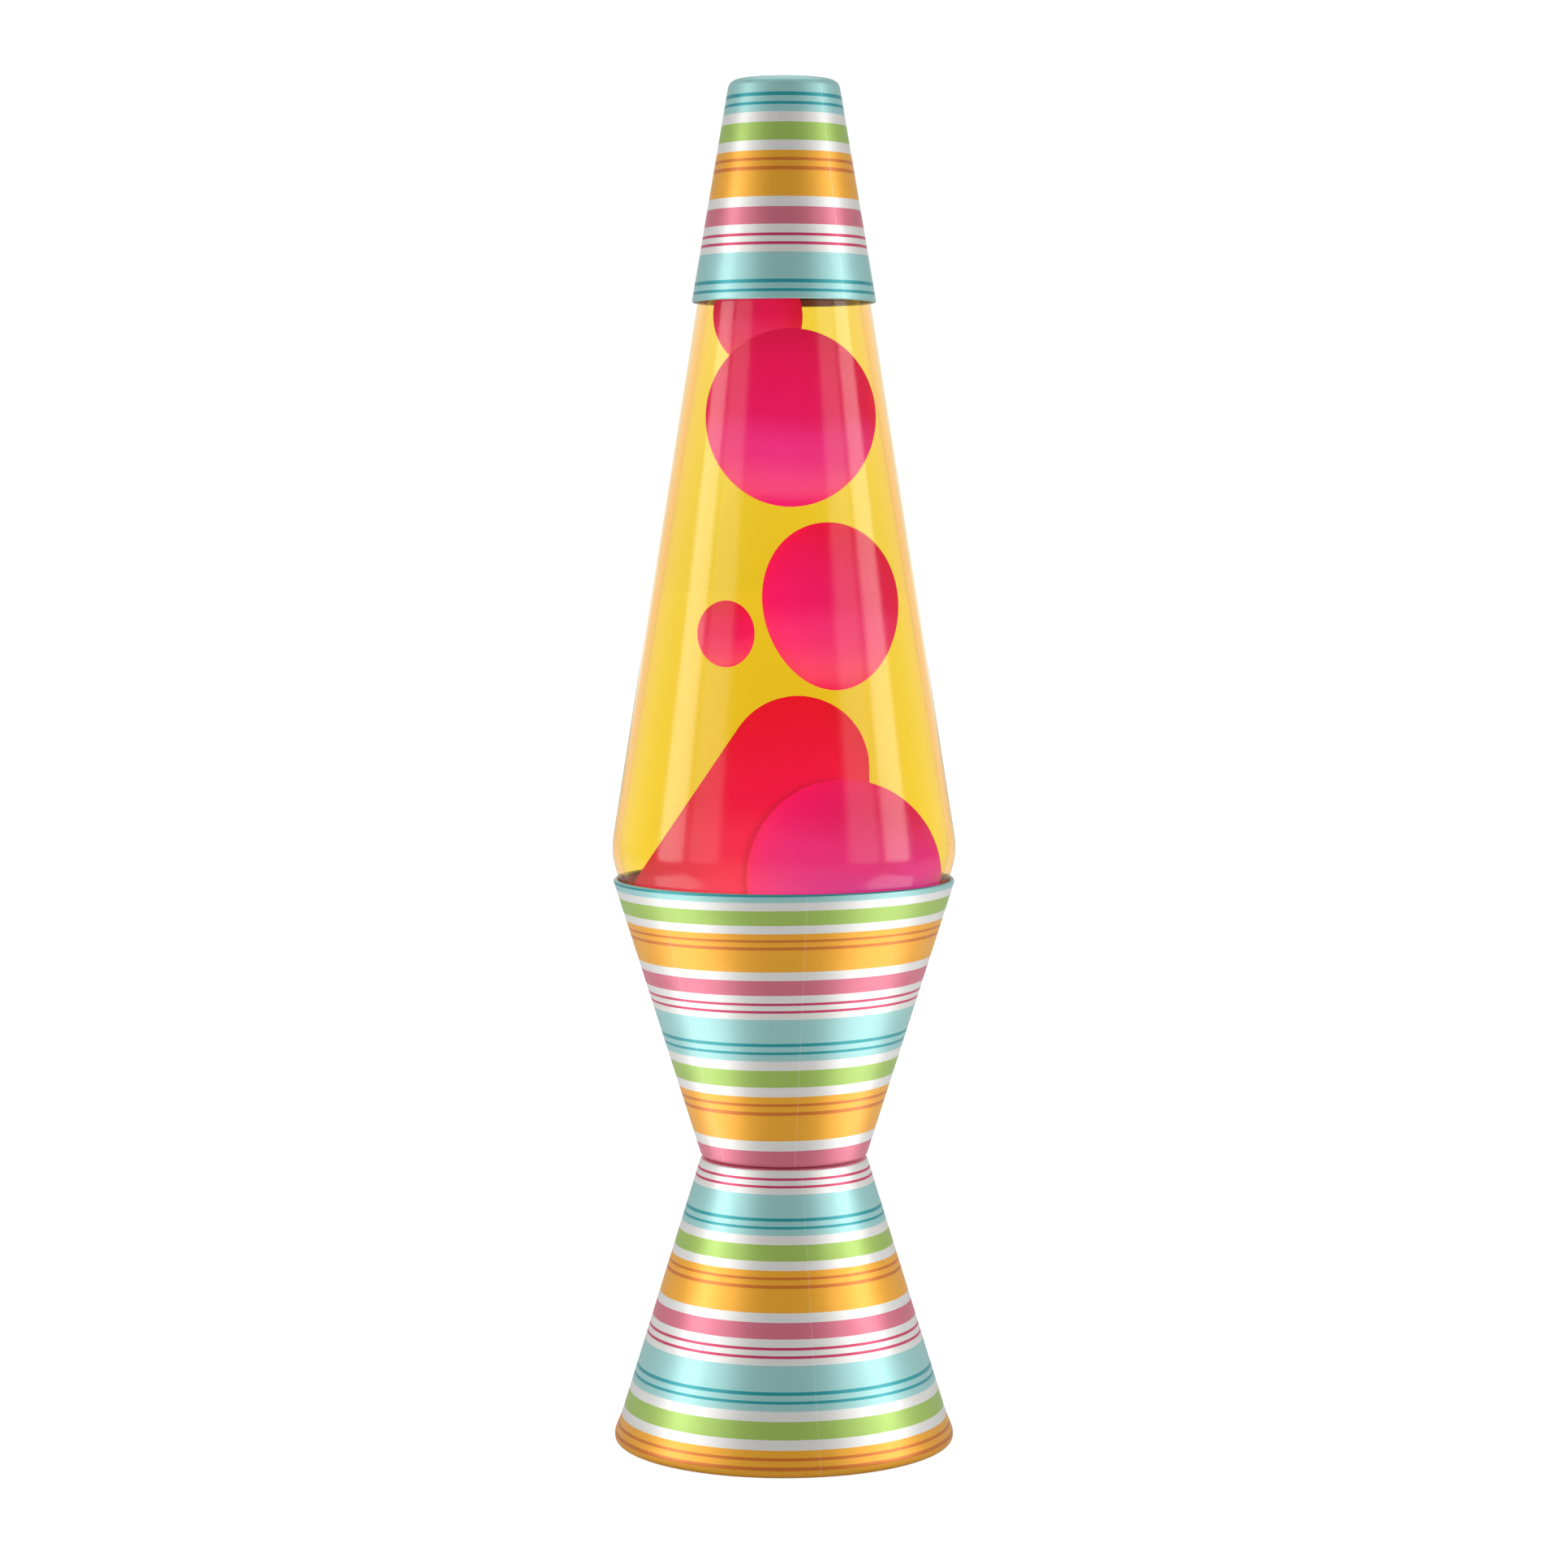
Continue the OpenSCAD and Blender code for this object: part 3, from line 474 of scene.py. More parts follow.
@dataclass(frozen=True)
class Stripes:
    """One repeat of the printed stripes: each band's ink and its width in millimetres."""

    bands: tuple[tuple[Ink, float], ...] = (
        (Ink.WHITE, 2.63),
        (Ink.GREEN, 4.82),
        (Ink.WHITE, 2.62),
        (Ink.ORANGE, 1.97),
        (Ink.BURNT, 0.87),
        (Ink.ORANGE, 1.53),
        (Ink.BURNT, 0.87),
        (Ink.ORANGE, 6.97),
        (Ink.WHITE, 2.61),
        (Ink.ROSE, 4.78),
        (Ink.WHITE, 2.17),
        (Ink.MAGENTA, 0.87),
        (Ink.WHITE, 1.51),
        (Ink.MAGENTA, 0.87),
        (Ink.WHITE, 1.95),
        (Ink.AQUA, 7.10),
        (Ink.TEAL, 0.87),
        (Ink.AQUA, 1.53),
        (Ink.TEAL, 0.87),
        (Ink.AQUA, 1.98),
    )

    @property
    def repeat(self) -> float:
        """Length of one repeat."""
        return sum(width for _, width in self.bands)

    def stops(self) -> list[tuple[float, Colour]]:
        """Returns the ramp stops of one repeat, from 0 to 1."""
        stops, at = [], 0.0
        for ink, width in self.bands:
            stops.append((at / self.repeat, linear(*ink.value)))
            at += width
        return stops


class Effects:
    """Node groups that several materials share, each built once."""

    made: dict[str, bpy.types.NodeTree] = {}

    @classmethod
    def group(
        cls,
        name: str,
        inputs: dict[str, float],
        outputs: dict[str, str],
        build: Callable[[Graph, Sockets], Sockets],
    ) -> bpy.types.NodeTree:
        """Builds a group the first time it is asked for.

        Args:
            name: The group's name.
            inputs: Names and first values of its number inputs.
            outputs: Names and kinds (Float, Color or Vector) of its outputs.
            build: Makes the nodes, and returns the socket for each output.

        Returns:
            The group.
        """
        if name in cls.made:
            return cls.made[name]
        tree = bpy.data.node_groups.new(name, "ShaderNodeTree")
        for key, value in inputs.items():
            socket = tree.interface.new_socket(key, in_out="INPUT", socket_type="NodeSocketFloat")
            socket.default_value = value
        for key, kind in outputs.items():
            tree.interface.new_socket(key, in_out="OUTPUT", socket_type=f"NodeSocket{kind}")
        graph = Graph(tree)
        enter, leave = tree.nodes.new("NodeGroupInput"), tree.nodes.new("NodeGroupOutput")
        made = build(graph, {socket.name: socket for socket in enter.outputs if socket.name})
        for key, socket in made.items():
            tree.links.new(socket, leave.inputs[key])
        cls.made[name] = tree
        return tree

    @classmethod
    def stripes(cls) -> bpy.types.NodeTree:
        """Printed bands that run down from a height; the print stretches with the cone."""

        def build(graph: Graph, given: Sockets) -> Sockets:
            """Makes the band colours."""
            x, _, z = graph.split(graph.place())
            down = graph.math("MULTIPLY", graph.math("SUBTRACT", given["Top"], z), 1 / MM)
            bent = graph.math("MULTIPLY", down, given["Curve"])
            run = graph.math("MULTIPLY_ADD", bent, down, given["Start"])
            run = graph.math("MULTIPLY_ADD", down, given["Rate"], run)
            run = graph.math("MULTIPLY_ADD", graph.math("MULTIPLY", x, 1 / MM), given["Tilt"], run)
            print_ = Stripes()
            part = graph.math("FRACT", graph.math("DIVIDE", run, print_.repeat))
            return {"Colour": graph.ramp(part, print_.stops(), crisp=True)}

        inputs = {"Top": 0.3, "Start": 0.0, "Rate": 1.0, "Curve": 0.0, "Tilt": 0.0}
        return cls.group("printed_stripes", inputs, {"Colour": "Color"}, build)

    @classmethod
    def seam(cls) -> bpy.types.NodeTree:
        """A fine upright seam at an angle round the axis."""

        def build(graph: Graph, given: Sockets) -> Sockets:
            """Makes the seam's mask."""
            x, y, _ = graph.split(graph.place())
            turn = graph.math("RADIANS", given["Angle"])
            sine, cosine = graph.math("SINE", turn), graph.math("COSINE", turn)
            across = graph.math("MULTIPLY_ADD", x, cosine, graph.math("MULTIPLY", y, sine))
            ahead = graph.math("SUBTRACT", graph.math("MULTIPLY", x, sine), graph.math("MULTIPLY", y, cosine))
            width = graph.math("MULTIPLY", given["Width"], MM)
            near = graph.math("LESS_THAN", graph.math("ABSOLUTE", across), width)
            mask = graph.math("MULTIPLY", near, graph.math("GREATER_THAN", ahead, 0.0))
            return {"Mask": mask}

        return cls.group("sheet_seam", {"Angle": 0.0, "Width": 0.12}, {"Mask": "Float"}, build)

    @classmethod
    def grain(cls) -> bpy.types.NodeTree:
        """Fine cloudy variation with a small height, for moulded and cast surfaces."""

        def build(graph: Graph, given: Sockets) -> Sockets:
            """Makes the shade and the height."""
            fine = graph.add("TexNoise", Vector=graph.place(), Scale=given["Scale"], Detail=5.0)
            coarse = graph.math("MULTIPLY", given["Scale"], 0.06)
            broad = graph.add("TexNoise", Vector=graph.place(), Scale=coarse)
            half = graph.math("MULTIPLY", broad.outputs[0], 0.5)
            both = graph.math("MULTIPLY_ADD", fine.outputs[0], 0.5, half)
            shade = graph.math("MULTIPLY_ADD", graph.math("SUBTRACT", both, 0.5), given["Amount"], 1.0)
            return {"Shade": shade, "Height": fine.outputs[0]}

        outputs = {"Shade": "Float", "Height": "Float"}
        return cls.group("fine_grain", {"Scale": 900.0, "Amount": 0.2}, outputs, build)

    @classmethod
    def lathe(cls) -> bpy.types.NodeTree:
        """Fine level marks round the axis, as spinning and polishing leave."""

        def build(graph: Graph, given: Sockets) -> Sockets:
            """Makes the marks."""
            x, y, z = graph.split(graph.place())
            short_x, short_y = (graph.math("MULTIPLY", side, 0.02) for side in (x, y))
            stretched = graph.add("CombineXYZ", X=short_x, Y=short_y, Z=z)
            marks = graph.add("TexNoise", Vector=stretched.outputs[0], Scale=given["Scale"], Detail=3.0)
            return {"Height": marks.outputs[0]}

        return cls.group("lathe_marks", {"Scale": 4000.0}, {"Height": "Float"}, build)

    @classmethod
    def wear(cls) -> bpy.types.NodeTree:
        """Worn outer edges, broken up by noise."""

        def build(graph: Graph, given: Sockets) -> Sockets:
            """Makes the worn mask."""
            sharp = graph.range(graph.add("NewGeometry").outputs["Pointiness"], 0.515, 0.56)
            patchy = graph.add("TexNoise", Vector=graph.place(), Scale=given["Scale"], Detail=4.0)
            kept = graph.range(patchy.outputs[0], 0.4, 0.62)
            return {"Mask": graph.math("MULTIPLY", graph.math("MULTIPLY", sharp, kept), given["Amount"])}

        return cls.group("edge_wear", {"Scale": 400.0, "Amount": 0.5}, {"Mask": "Float"}, build)

    @classmethod
    def dust(cls) -> bpy.types.NodeTree:
        """A thin film of dust on faces that look up."""

        def build(graph: Graph, given: Sockets) -> Sockets:
            """Makes the dusty mask."""
            _, _, z = graph.split(graph.add("NewGeometry").outputs["Normal"])
            patchy = graph.add("TexNoise", Vector=graph.place(), Scale=160.0, Detail=6.0)
            kept = graph.range(patchy.outputs[0], 0.3, 0.75)
            film = graph.math("MULTIPLY", graph.range(z, 0.55, 1.0), kept)
            return {"Mask": graph.math("MULTIPLY", film, given["Amount"])}

        return cls.group("dust_film", {"Amount": 0.3}, {"Mask": "Float"}, build)


def shader(name: str) -> tuple[bpy.types.Material, Graph, bpy.types.Node]:
    """Makes a material with one Principled shader.

    Args:
        name: The material's name.

    Returns:
        The material, its graph and its Principled node.
    """
    material = bpy.data.materials.new(name)
    material.use_nodes = True
    graph = Graph(material.node_tree)
    return material, graph, material.node_tree.nodes["Principled BSDF"]


def place_group(graph: Graph, tree: bpy.types.NodeTree, **inputs: Value) -> bpy.types.Node:
    """Places a shared effect in a material with its own values."""
    node = graph.tree.nodes.new("ShaderNodeGroup")
    node.node_tree = tree
    for key, value in inputs.items():
        graph.feed(node.inputs[key], value)
    return node


@dataclass(frozen=True)
class StripedLacquer:
    """Satin lacquer with printed stripes over sheet metal."""

    name: str
    top: float
    start: float
    rate: float
    curve: float = 0.0
    tilt: float = 0.0
    seams: tuple[float, ...] = ()
    metallic: float = 0.5
    roughness: float = 0.42

    def material(self) -> bpy.types.Material:
        """Builds the material."""
        made, graph, skin = shader(self.name)
        bands = place_group(
            graph,
            Effects.stripes(),
            Top=self.top * MM,
            Start=self.start,
            Rate=self.rate,
            Curve=self.curve,
            Tilt=self.tilt,
        )
        grain = place_group(graph, Effects.grain(), Scale=700.0, Amount=0.10)
        colour = graph.mix(1.0, bands.outputs[0], grain.outputs["Shade"], "MULTIPLY")
        marks = place_group(graph, Effects.lathe(), Scale=3000.0)
        height = marks.outputs[0]
        for angle in self.seams:
            seam = place_group(graph, Effects.seam(), Angle=angle)
            colour = graph.mix(graph.math("MULTIPLY", seam.outputs[0], 0.12), colour, (1.0, 1.0, 1.0))
            height = graph.math("SUBTRACT", height, seam.outputs[0])
        dust = place_group(graph, Effects.dust(), Amount=0.10)
        colour = graph.mix(dust.outputs[0], colour, linear(205, 200, 192))
        graph.feed(skin.inputs["Base Color"], colour)
        rough = graph.range(grain.outputs["Height"], 0.2, 0.8, (self.roughness - 0.04, self.roughness + 0.05))
        graph.feed(skin.inputs["Roughness"], rough)
        skin.inputs["Metallic"].default_value = self.metallic
        skin.inputs["Coat Weight"].default_value = 0.5
        skin.inputs["Coat Roughness"].default_value = 0.32
        bump = graph.add("Bump", Strength=0.10, Distance=0.00004, Height=height)
        graph.feed(skin.inputs["Normal"], bump.outputs[0])
        return made


@dataclass(frozen=True)
class Metal:
    """Bare or plated metal with turning marks and worn edges."""

    name: str
    colour: tuple[int, int, int]
    roughness: float = 0.3
    marks: float = 2500.0
    bump: float = 0.15
    worn: float = 0.4

    def material(self) -> bpy.types.Material:
        """Builds the material."""
        made, graph, skin = shader(self.name)
        grain = place_group(graph, Effects.grain(), Scale=500.0, Amount=0.3)
        colour = graph.mix(1.0, linear(*self.colour), grain.outputs["Shade"], "MULTIPLY")
        wear = place_group(graph, Effects.wear(), Amount=self.worn)
        bright = tuple(min(1.0, part * 1.5 + 0.08) for part in linear(*self.colour))
        colour = graph.mix(wear.outputs[0], colour, bright)
        graph.feed(skin.inputs["Base Color"], colour)
        skin.inputs["Metallic"].default_value = 1.0
        rough = graph.range(grain.outputs["Height"], 0.2, 0.8, (self.roughness * 0.8, self.roughness * 1.25))
        graph.feed(skin.inputs["Roughness"], rough)
        lathe = place_group(graph, Effects.lathe(), Scale=self.marks)
        bump = graph.add("Bump", Strength=self.bump, Distance=0.00005, Height=lathe.outputs[0])
        graph.feed(skin.inputs["Normal"], bump.outputs[0])
        return made


@dataclass(frozen=True)
class Moulded:
    """Moulded plastic, rubber, porcelain or phenolic with a fine grained skin."""

    name: str
    colour: tuple[int, int, int]
    roughness: float = 0.5
    grain: float = 1200.0
    bump: float = 0.2
    dusty: float = 0.25
    glaze: float = 0.0

    def material(self) -> bpy.types.Material:
        """Builds the material."""
        made, graph, skin = shader(self.name)
        grain = place_group(graph, Effects.grain(), Scale=self.grain, Amount=0.35)
        colour = graph.mix(1.0, linear(*self.colour), grain.outputs["Shade"], "MULTIPLY")
        wear = place_group(graph, Effects.wear(), Amount=0.35, Scale=600.0)
        paler = tuple(min(1.0, part * 1.6 + 0.03) for part in linear(*self.colour))
        colour = graph.mix(wear.outputs[0], colour, paler)
        dust = place_group(graph, Effects.dust(), Amount=self.dusty)
        colour = graph.mix(dust.outputs[0], colour, linear(190, 184, 174))
        graph.feed(skin.inputs["Base Color"], colour)
        rough = graph.range(grain.outputs["Height"], 0.2, 0.8, (self.roughness - 0.06, self.roughness + 0.08))
        graph.feed(skin.inputs["Roughness"], rough)
        skin.inputs["Coat Weight"].default_value = self.glaze
        skin.inputs["Coat Roughness"].default_value = 0.08
        bump = graph.add("Bump", Strength=self.bump, Distance=0.00008, Height=grain.outputs["Height"])
        graph.feed(skin.inputs["Normal"], bump.outputs[0])
        return made


@dataclass(frozen=True)
class ClearBody:
    """Clear glass or liquid, tinted through its depth."""

    name: str
    tint: Colour
    density: float
    ior: float = 1.45
    coat: float = 0.0

    def material(self) -> bpy.types.Material:
        """Builds the material."""
        made, graph, skin = shader(self.name)
        skin.inputs["Base Color"].default_value = (1, 1, 1, 1)
        skin.inputs["Metallic"].default_value = 0.0
        skin.inputs["Transmission Weight"].default_value = 1.0
        skin.inputs["IOR"].default_value = self.ior
        if self.coat:
            outer = graph.math("SUBTRACT", 1.0, graph.add("NewGeometry").outputs["Backfacing"])
            graph.feed(skin.inputs["Coat Weight"], graph.math("MULTIPLY", outer, self.coat))
        skin.inputs["Coat IOR"].default_value = 1.42
        skin.inputs["Coat Roughness"].default_value = 0.15
        skin.inputs["Roughness"].default_value = 0.0
        if self.density:
            depth = graph.add("VolumeAbsorption")
            depth.inputs["Color"].default_value = (*self.tint, 1)
            depth.inputs["Density"].default_value = self.density
            graph.tree.links.new(depth.outputs[0], graph.tree.nodes["Material Output"].inputs["Volume"])
        return made


@dataclass(frozen=True)
class Wax:
    """Melted wax: crimson, with painted light that makes it paler and pinker underneath, where the bulb's
    light comes up.

    Wax deep in the liquid is painted bluer and given more painted glow, to make up for the light the liquid
    takes away.
    The shadow dome is the middle and radius of a round hill, and a painted shadow darkens the wax beside it.
    """

    name: str
    low: float
    high: float
    # Middle and radius of the dome whose painted shadow darkens the wax round it.
    shadow_dome: tuple[float, ...] = ()
    wall_r: float = 66.4
    wall_taper: float = 0.142
    # Width of the painted shadow beside the dome, in millimetres.
    painted_shadow_w: float = 3.2

    def material(self) -> bpy.types.Material:
        """Builds the material."""
        made, graph, skin = shader(self.name)
        x, y, z = graph.split(graph.place())
        drift = graph.add("TexNoise", Vector=graph.place(), Scale=45.0, Detail=2.0)
        swirl = graph.math("MULTIPLY", graph.math("SUBTRACT", drift.outputs[0], 0.5), 0.006)
        # Painted light: each ramp runs from a paler, pinker underside, a painted glow from the bulb below, up
        # to a darker crimson top.
        level = graph.range(graph.math("ADD", z, swirl), self.low * MM, self.high * MM, smooth=False)
        near = [
            (0.0, linear(226, 10, 110)),
            (0.10, linear(236, 72, 170)),
            (0.32, linear(230, 44, 140)),
            (0.55, linear(222, 2, 68)),
            (1.0, linear(214, 0, 40)),
        ]
        far = [
            (0.0, linear(226, 20, 240)),
            (0.10, linear(236, 70, 255)),
            (0.32, linear(232, 44, 255)),
            (0.55, linear(226, 6, 225)),
            (1.0, linear(218, 0, 150)),
        ]
        # Painted light: wax far from the glass takes a bluer copy of the ramp, to make up for the light the
        # liquid takes away.
        square = graph.math("MULTIPLY_ADD", x, x, graph.math("MULTIPLY", y, y))
        out = graph.math("SQRT", square)
        taper = graph.math("MULTIPLY", z, self.wall_taper)
        wall = graph.math("SUBTRACT", self.wall_r * MM, taper)
        depth = graph.range(graph.math("SUBTRACT", wall, out), 0.001, 0.027, smooth=False)
        colour = graph.mix(depth, graph.ramp(level, near), graph.ramp(level, far))
        # Painted shadow: wax just outside the dome is darkened towards the dome's outline, standing in for
        # the shade the dome casts.
        if self.shadow_dome:
            *middle, radius = (v * MM for v in self.shadow_dome)
            span = graph.add("VectorMath", {"operation": "DISTANCE"})
            graph.feed(span.inputs[0], graph.place())
            graph.feed(span.inputs[1], middle)
            away = span.outputs["Value"]
            painted_shadow_falloff = graph.range(away, radius, radius + self.painted_shadow_w * MM, (0.72, 1.0))
            beyond = graph.range(away, radius + 0.3 * MM, radius + 0.8 * MM)
            shade = graph.mix(beyond, (1.0, 1.0, 1.0), painted_shadow_falloff)
            colour = graph.mix(1.0, colour, shade, "MULTIPLY")
        graph.feed(skin.inputs["Base Color"], graph.mix(1.0, colour, (0.4,) * 3, "MULTIPLY"))
        # Painted glow: the wax emits its own colour though it is no lamp, more strongly deeper in the liquid.
        graph.feed(skin.inputs["Emission Color"], colour)
        painted_glow_strength = graph.math("MULTIPLY_ADD", depth, 0.48, 0.58)
        graph.feed(skin.inputs["Emission Strength"], painted_glow_strength)
        skin.inputs["Specular IOR Level"].default_value = 0.0
        skin.inputs["Subsurface Weight"].default_value = 0.25
        skin.inputs["Subsurface Radius"].default_value = (1.0, 0.25, 0.2)
        skin.inputs["Subsurface Scale"].default_value = 0.004
        grain = place_group(graph, Effects.grain(), Scale=300.0, Amount=0.1)
        rough = graph.range(grain.outputs["Height"], 0.2, 0.8, (0.26, 0.36))
        graph.feed(skin.inputs["Roughness"], rough)
        return made


# ---------------------------------------------------------------------------
# The lamp's pieces
# ---------------------------------------------------------------------------


@dataclass
class Levels:
    """Main heights and radii of the lamp in millimetres; the heights and the foot's radius are read from the
    frame.
    """

    foot: float = field(default_factory=lambda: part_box("lower_shell")[0].z / MM)
    foot_r: float = field(default_factory=lambda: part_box("lower_shell")[1].x / MM)
    waist: float = field(default_factory=lambda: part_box("upper_shell")[0].z / MM)
    waist_r: float = 22.5
    hole_r: float = 14.6
    rim: float = field(default_factory=lambda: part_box("upper_shell")[1].z / MM)
    rim_r: float = 46.4
    globe: float = field(default_factory=lambda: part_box("globe_glass")[0].z / MM)
    lip: float = field(default_factory=lambda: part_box("globe_glass")[1].z / MM)
    hem: float = field(default_factory=lambda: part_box("cap")[0].z / MM)
    hem_r: float = 24.8
    top: float = field(default_factory=lambda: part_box("cap")[1].z / MM)
    liquid: float = field(default_factory=lambda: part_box("liquid")[1].z / MM)

    @property
    def upper_slope(self) -> float:
        """Radius gained per millimetre of height on the upper shell."""
        return (self.rim_r - self.waist_r) / (self.rim - self.waist)


def finish_piece(bench: Bench, material: bpy.types.Material, body: str, slot: str, *nodes: str) -> None:
    """Dresses a piece and hands it to the frame.

    Args:
        bench: The bench that holds the piece.
        material: Its material.
        body: The CAD body it rides on.
        slot: The record's material slot; not used.
        *nodes: The CAD nodes it stands for.
    """
    piece = bench.piece
    piece.data.materials.clear()
    piece.data.materials.append(material)
    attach(piece, body)
    if nodes:
        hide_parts(*nodes)
    LOG.info("%s: %d faces on %s", piece.name, len(piece.data.polygons), body)


@dataclass
class Shells:
    """The two cones of the base and the cap."""

    levels: Levels
    sheet: float = 0.8
    bead: float = 0.7
    bead_h: float = 2.4
    skirt_h: float = 7.8
    band_h: float = 2.4
    skirt_out: float = 0.45
    edge_w: float = 3.0
    flange_r: float = 39.0
    flange_z: float = 2.6
    cap_sheet: float = 0.7
    cap_bead: float = 0.5
    cap_top_r: float = 14.65
    cord_hole_r: float = 4.5
    cord_hole_at: Corner = (0, 41.5, 14.8)
    cord_hole_turn: float = -72.9

    def upper(self) -> None:
        """Makes the upper cone with its rolled rim."""
        at = self.levels
        wall = rounded(
            [
                (at.hole_r, at.waist, 0),
                (at.waist_r, at.waist, 1.6),
                (at.rim_r - at.upper_slope * self.bead_h, at.rim - self.bead_h, 0),
            ]
        )
        outline = hemmed(wall, at.rim_r, at.rim, self.bead, self.sheet)
        bench = Bench.turned("upper_cone", outline, 192).smooth(50)
        print_ = StripedLacquer(
            "striped_lacquer_upper", at.rim, -2.697, 1.23638, -0.00209, 0.0133, (7.5, -45.6)
        )
        finish_piece(bench, print_.material(), "base", "striped_lacquer_upper", "upper_shell")

    def lower(self) -> None:
        """Makes the lower cone with its skirt and turned-in edge."""
        at = self.levels
        slope = (at.foot_r - self.skirt_out - at.waist_r) / (at.waist - at.foot - self.band_h)
        outer = rounded(
            [
                (at.hole_r, at.waist, 0),
                (at.waist_r, at.waist, 1.6),
                (at.waist_r + slope * (at.waist - at.foot - self.skirt_h), at.foot + self.skirt_h, 12),
                (at.foot_r, at.foot + self.band_h, 3),
                (at.foot_r, at.foot, 1.2),
                (at.foot_r - self.edge_w, at.foot, 1.2),
                (at.foot_r - self.edge_w, self.flange_z, 0.4),
                (self.flange_r, self.flange_z, 0),
            ]
        )
        outline = [*outer, *reversed(beside(outer, -self.sheet))]
        bench = Bench.turned("lower_cone", outline, 192)
        bore = [(0, -7), (self.cord_hole_r, -7), (self.cord_hole_r, 7), (0, 7)]
        hole = Bench.turned("cord_hole", bore, 48)
        hole.placed(self.cord_hole_at, (self.cord_hole_turn, 0, 0))
        bench.cut(hole, "DIFFERENCE").smooth(50)
        print_ = StripedLacquer("striped_lacquer_lower", at.waist, 29.02, 1.20388, -0.00109, 0.0, (12.0,))
        finish_piece(bench, print_.material(), "base", "striped_lacquer_lower", "lower_shell")

    def cap(self) -> None:
        """Makes the cap with its rounded top and rolled edge."""
        at = self.levels
        slope = (at.hem_r - self.cap_top_r) / (at.top - at.hem)
        wall = rounded(
            [
                (0, at.top, 0),
                (self.cap_top_r, at.top, 2.6),
                (at.hem_r - slope * self.bead_h, at.hem + self.bead_h, 0),
            ]
        )
        outline = hemmed(wall, at.hem_r, at.hem, self.cap_bead, -self.cap_sheet)
        bench = Bench.turned("top_cap", outline[:-1] + [(0, at.top - self.cap_sheet)], 192).smooth(50)
        print_ = StripedLacquer("striped_lacquer_cap", at.top, -9.737, 1.0, 0.0, 0.0, (40.0,))
        finish_piece(bench, print_.material(), "cap", "striped_lacquer_cap", "cap")


@dataclass
class Globe:
    """The glass globe and its liquid."""

    levels: Levels
    seat_gap: float = 0.3
    bead: float = 0.7
    shoulder_rise: float = 7.0
    shoulder_round: float = 18.5
    hem_r: float = 23.4
    thick_top: float = 2.9
    thick_low: float = 1.6
    punt: float = 2.5
    heel_round: float = 4.0
    neck_r: float = 12.0
    neck_z: float = 348.95
    finish_r: float = 12.8

    def corners(self) -> list[Corner]:
        """Outer outline of the glass, from the middle of its bottom to its neck."""
        at = self.levels
        rim_r = at.rim_r - 2 * self.bead - self.seat_gap
        heel_r = rim_r - at.upper_slope * (at.rim - at.globe)
        shoulder = (rim_r + at.upper_slope * self.shoulder_rise, at.rim + self.shoulder_rise)
        slope = (shoulder[0] - self.hem_r) / (at.hem - shoulder[1])
        return [
            (0, at.globe + self.punt, 0),
            (heel_r * 0.55, at.globe + self.punt, 6),
            (heel_r - self.heel_round, at.globe, 2.5),
            (heel_r, at.globe, self.heel_round),
            (*shoulder, self.shoulder_round),
            (self.hem_r - slope * 4, at.hem + 4, 0),
            (18.1, self.neck_z - 7, 5),
            (self.neck_r, self.neck_z, 3),
        ]

    def inner(self, gap: float = 0.0) -> list[Point]:
        """Inner outline of the glass; the wall is thicker towards the top.

        Args:
            gap: Extra distance inwards.

        Returns:
            The outline, from the middle of the bottom to the mouth.
        """
        at = self.levels
        outer = rounded([*self.corners(), (self.neck_r, at.lip, 0)])
        thin, thick = beside(outer, self.thick_low + gap), beside(outer, self.thick_top + gap)
        path = []
        for a, b in zip(thin, thick):
            part = min(1.0, max(0.0, (a[1] - at.rim) / (at.hem - at.rim)))
            path.append((a[0] + (b[0] - a[0]) * part, a[1] + (b[1] - a[1]) * part))
        return path

    def inner_below(self, level: float, gap: float) -> list[Point]:
        """Cuts the inner outline at a level.

        Args:
            level: Height of the cut.
            gap: Extra distance inwards.

        Returns:
            The outline up to the cut, and across it to the axis.
        """
        inner = self.inner(gap)
        below = [p for p in inner if p[1] < level]
        a, b = below[-1], inner[len(below)]
        edge = a[0] + (b[0] - a[0]) * (level - a[1]) / (b[1] - a[1])
        return [*below, (edge, level), (0, level)]

    def glass(self) -> None:
        """Makes the bottle with its neck finish."""
        at = self.levels
        mouth = at.lip - 5.2
        outer = rounded(
            [
                *self.corners(),
                (self.neck_r, mouth - 0.8, 0.6),
                (self.finish_r, mouth, 0.6),
                (self.finish_r, at.lip, 0.8),
                (self.neck_r - self.thick_top, at.lip, 0),
            ]
        )
        outline = [*outer, *list(reversed(self.inner()))[1:]]
        bench = Bench.turned("globe_bottle", outline, 160).smooth(60)
        glass = ClearBody("globe_clear_glass", (0.98, 0.69, 0.05), 88.0, ior=1.006, coat=1.0)
        finish_piece(bench, glass.material(), "globe", "globe_clear_glass", "globe_glass")

    def liquid(self) -> None:
        """Makes the liquid that fills the bottle up to its level."""
        outline = self.inner_below(self.levels.liquid, 0.04)
        bench = Bench.turned("yellow_liquid", outline, 160).smooth(60)
        fill = ClearBody("yellow_liquid", (0.93, 0.865, 0.0), 70.0, ior=1.003)
        finish_piece(bench, fill.material(), "globe", "amber_liquid", "liquid")


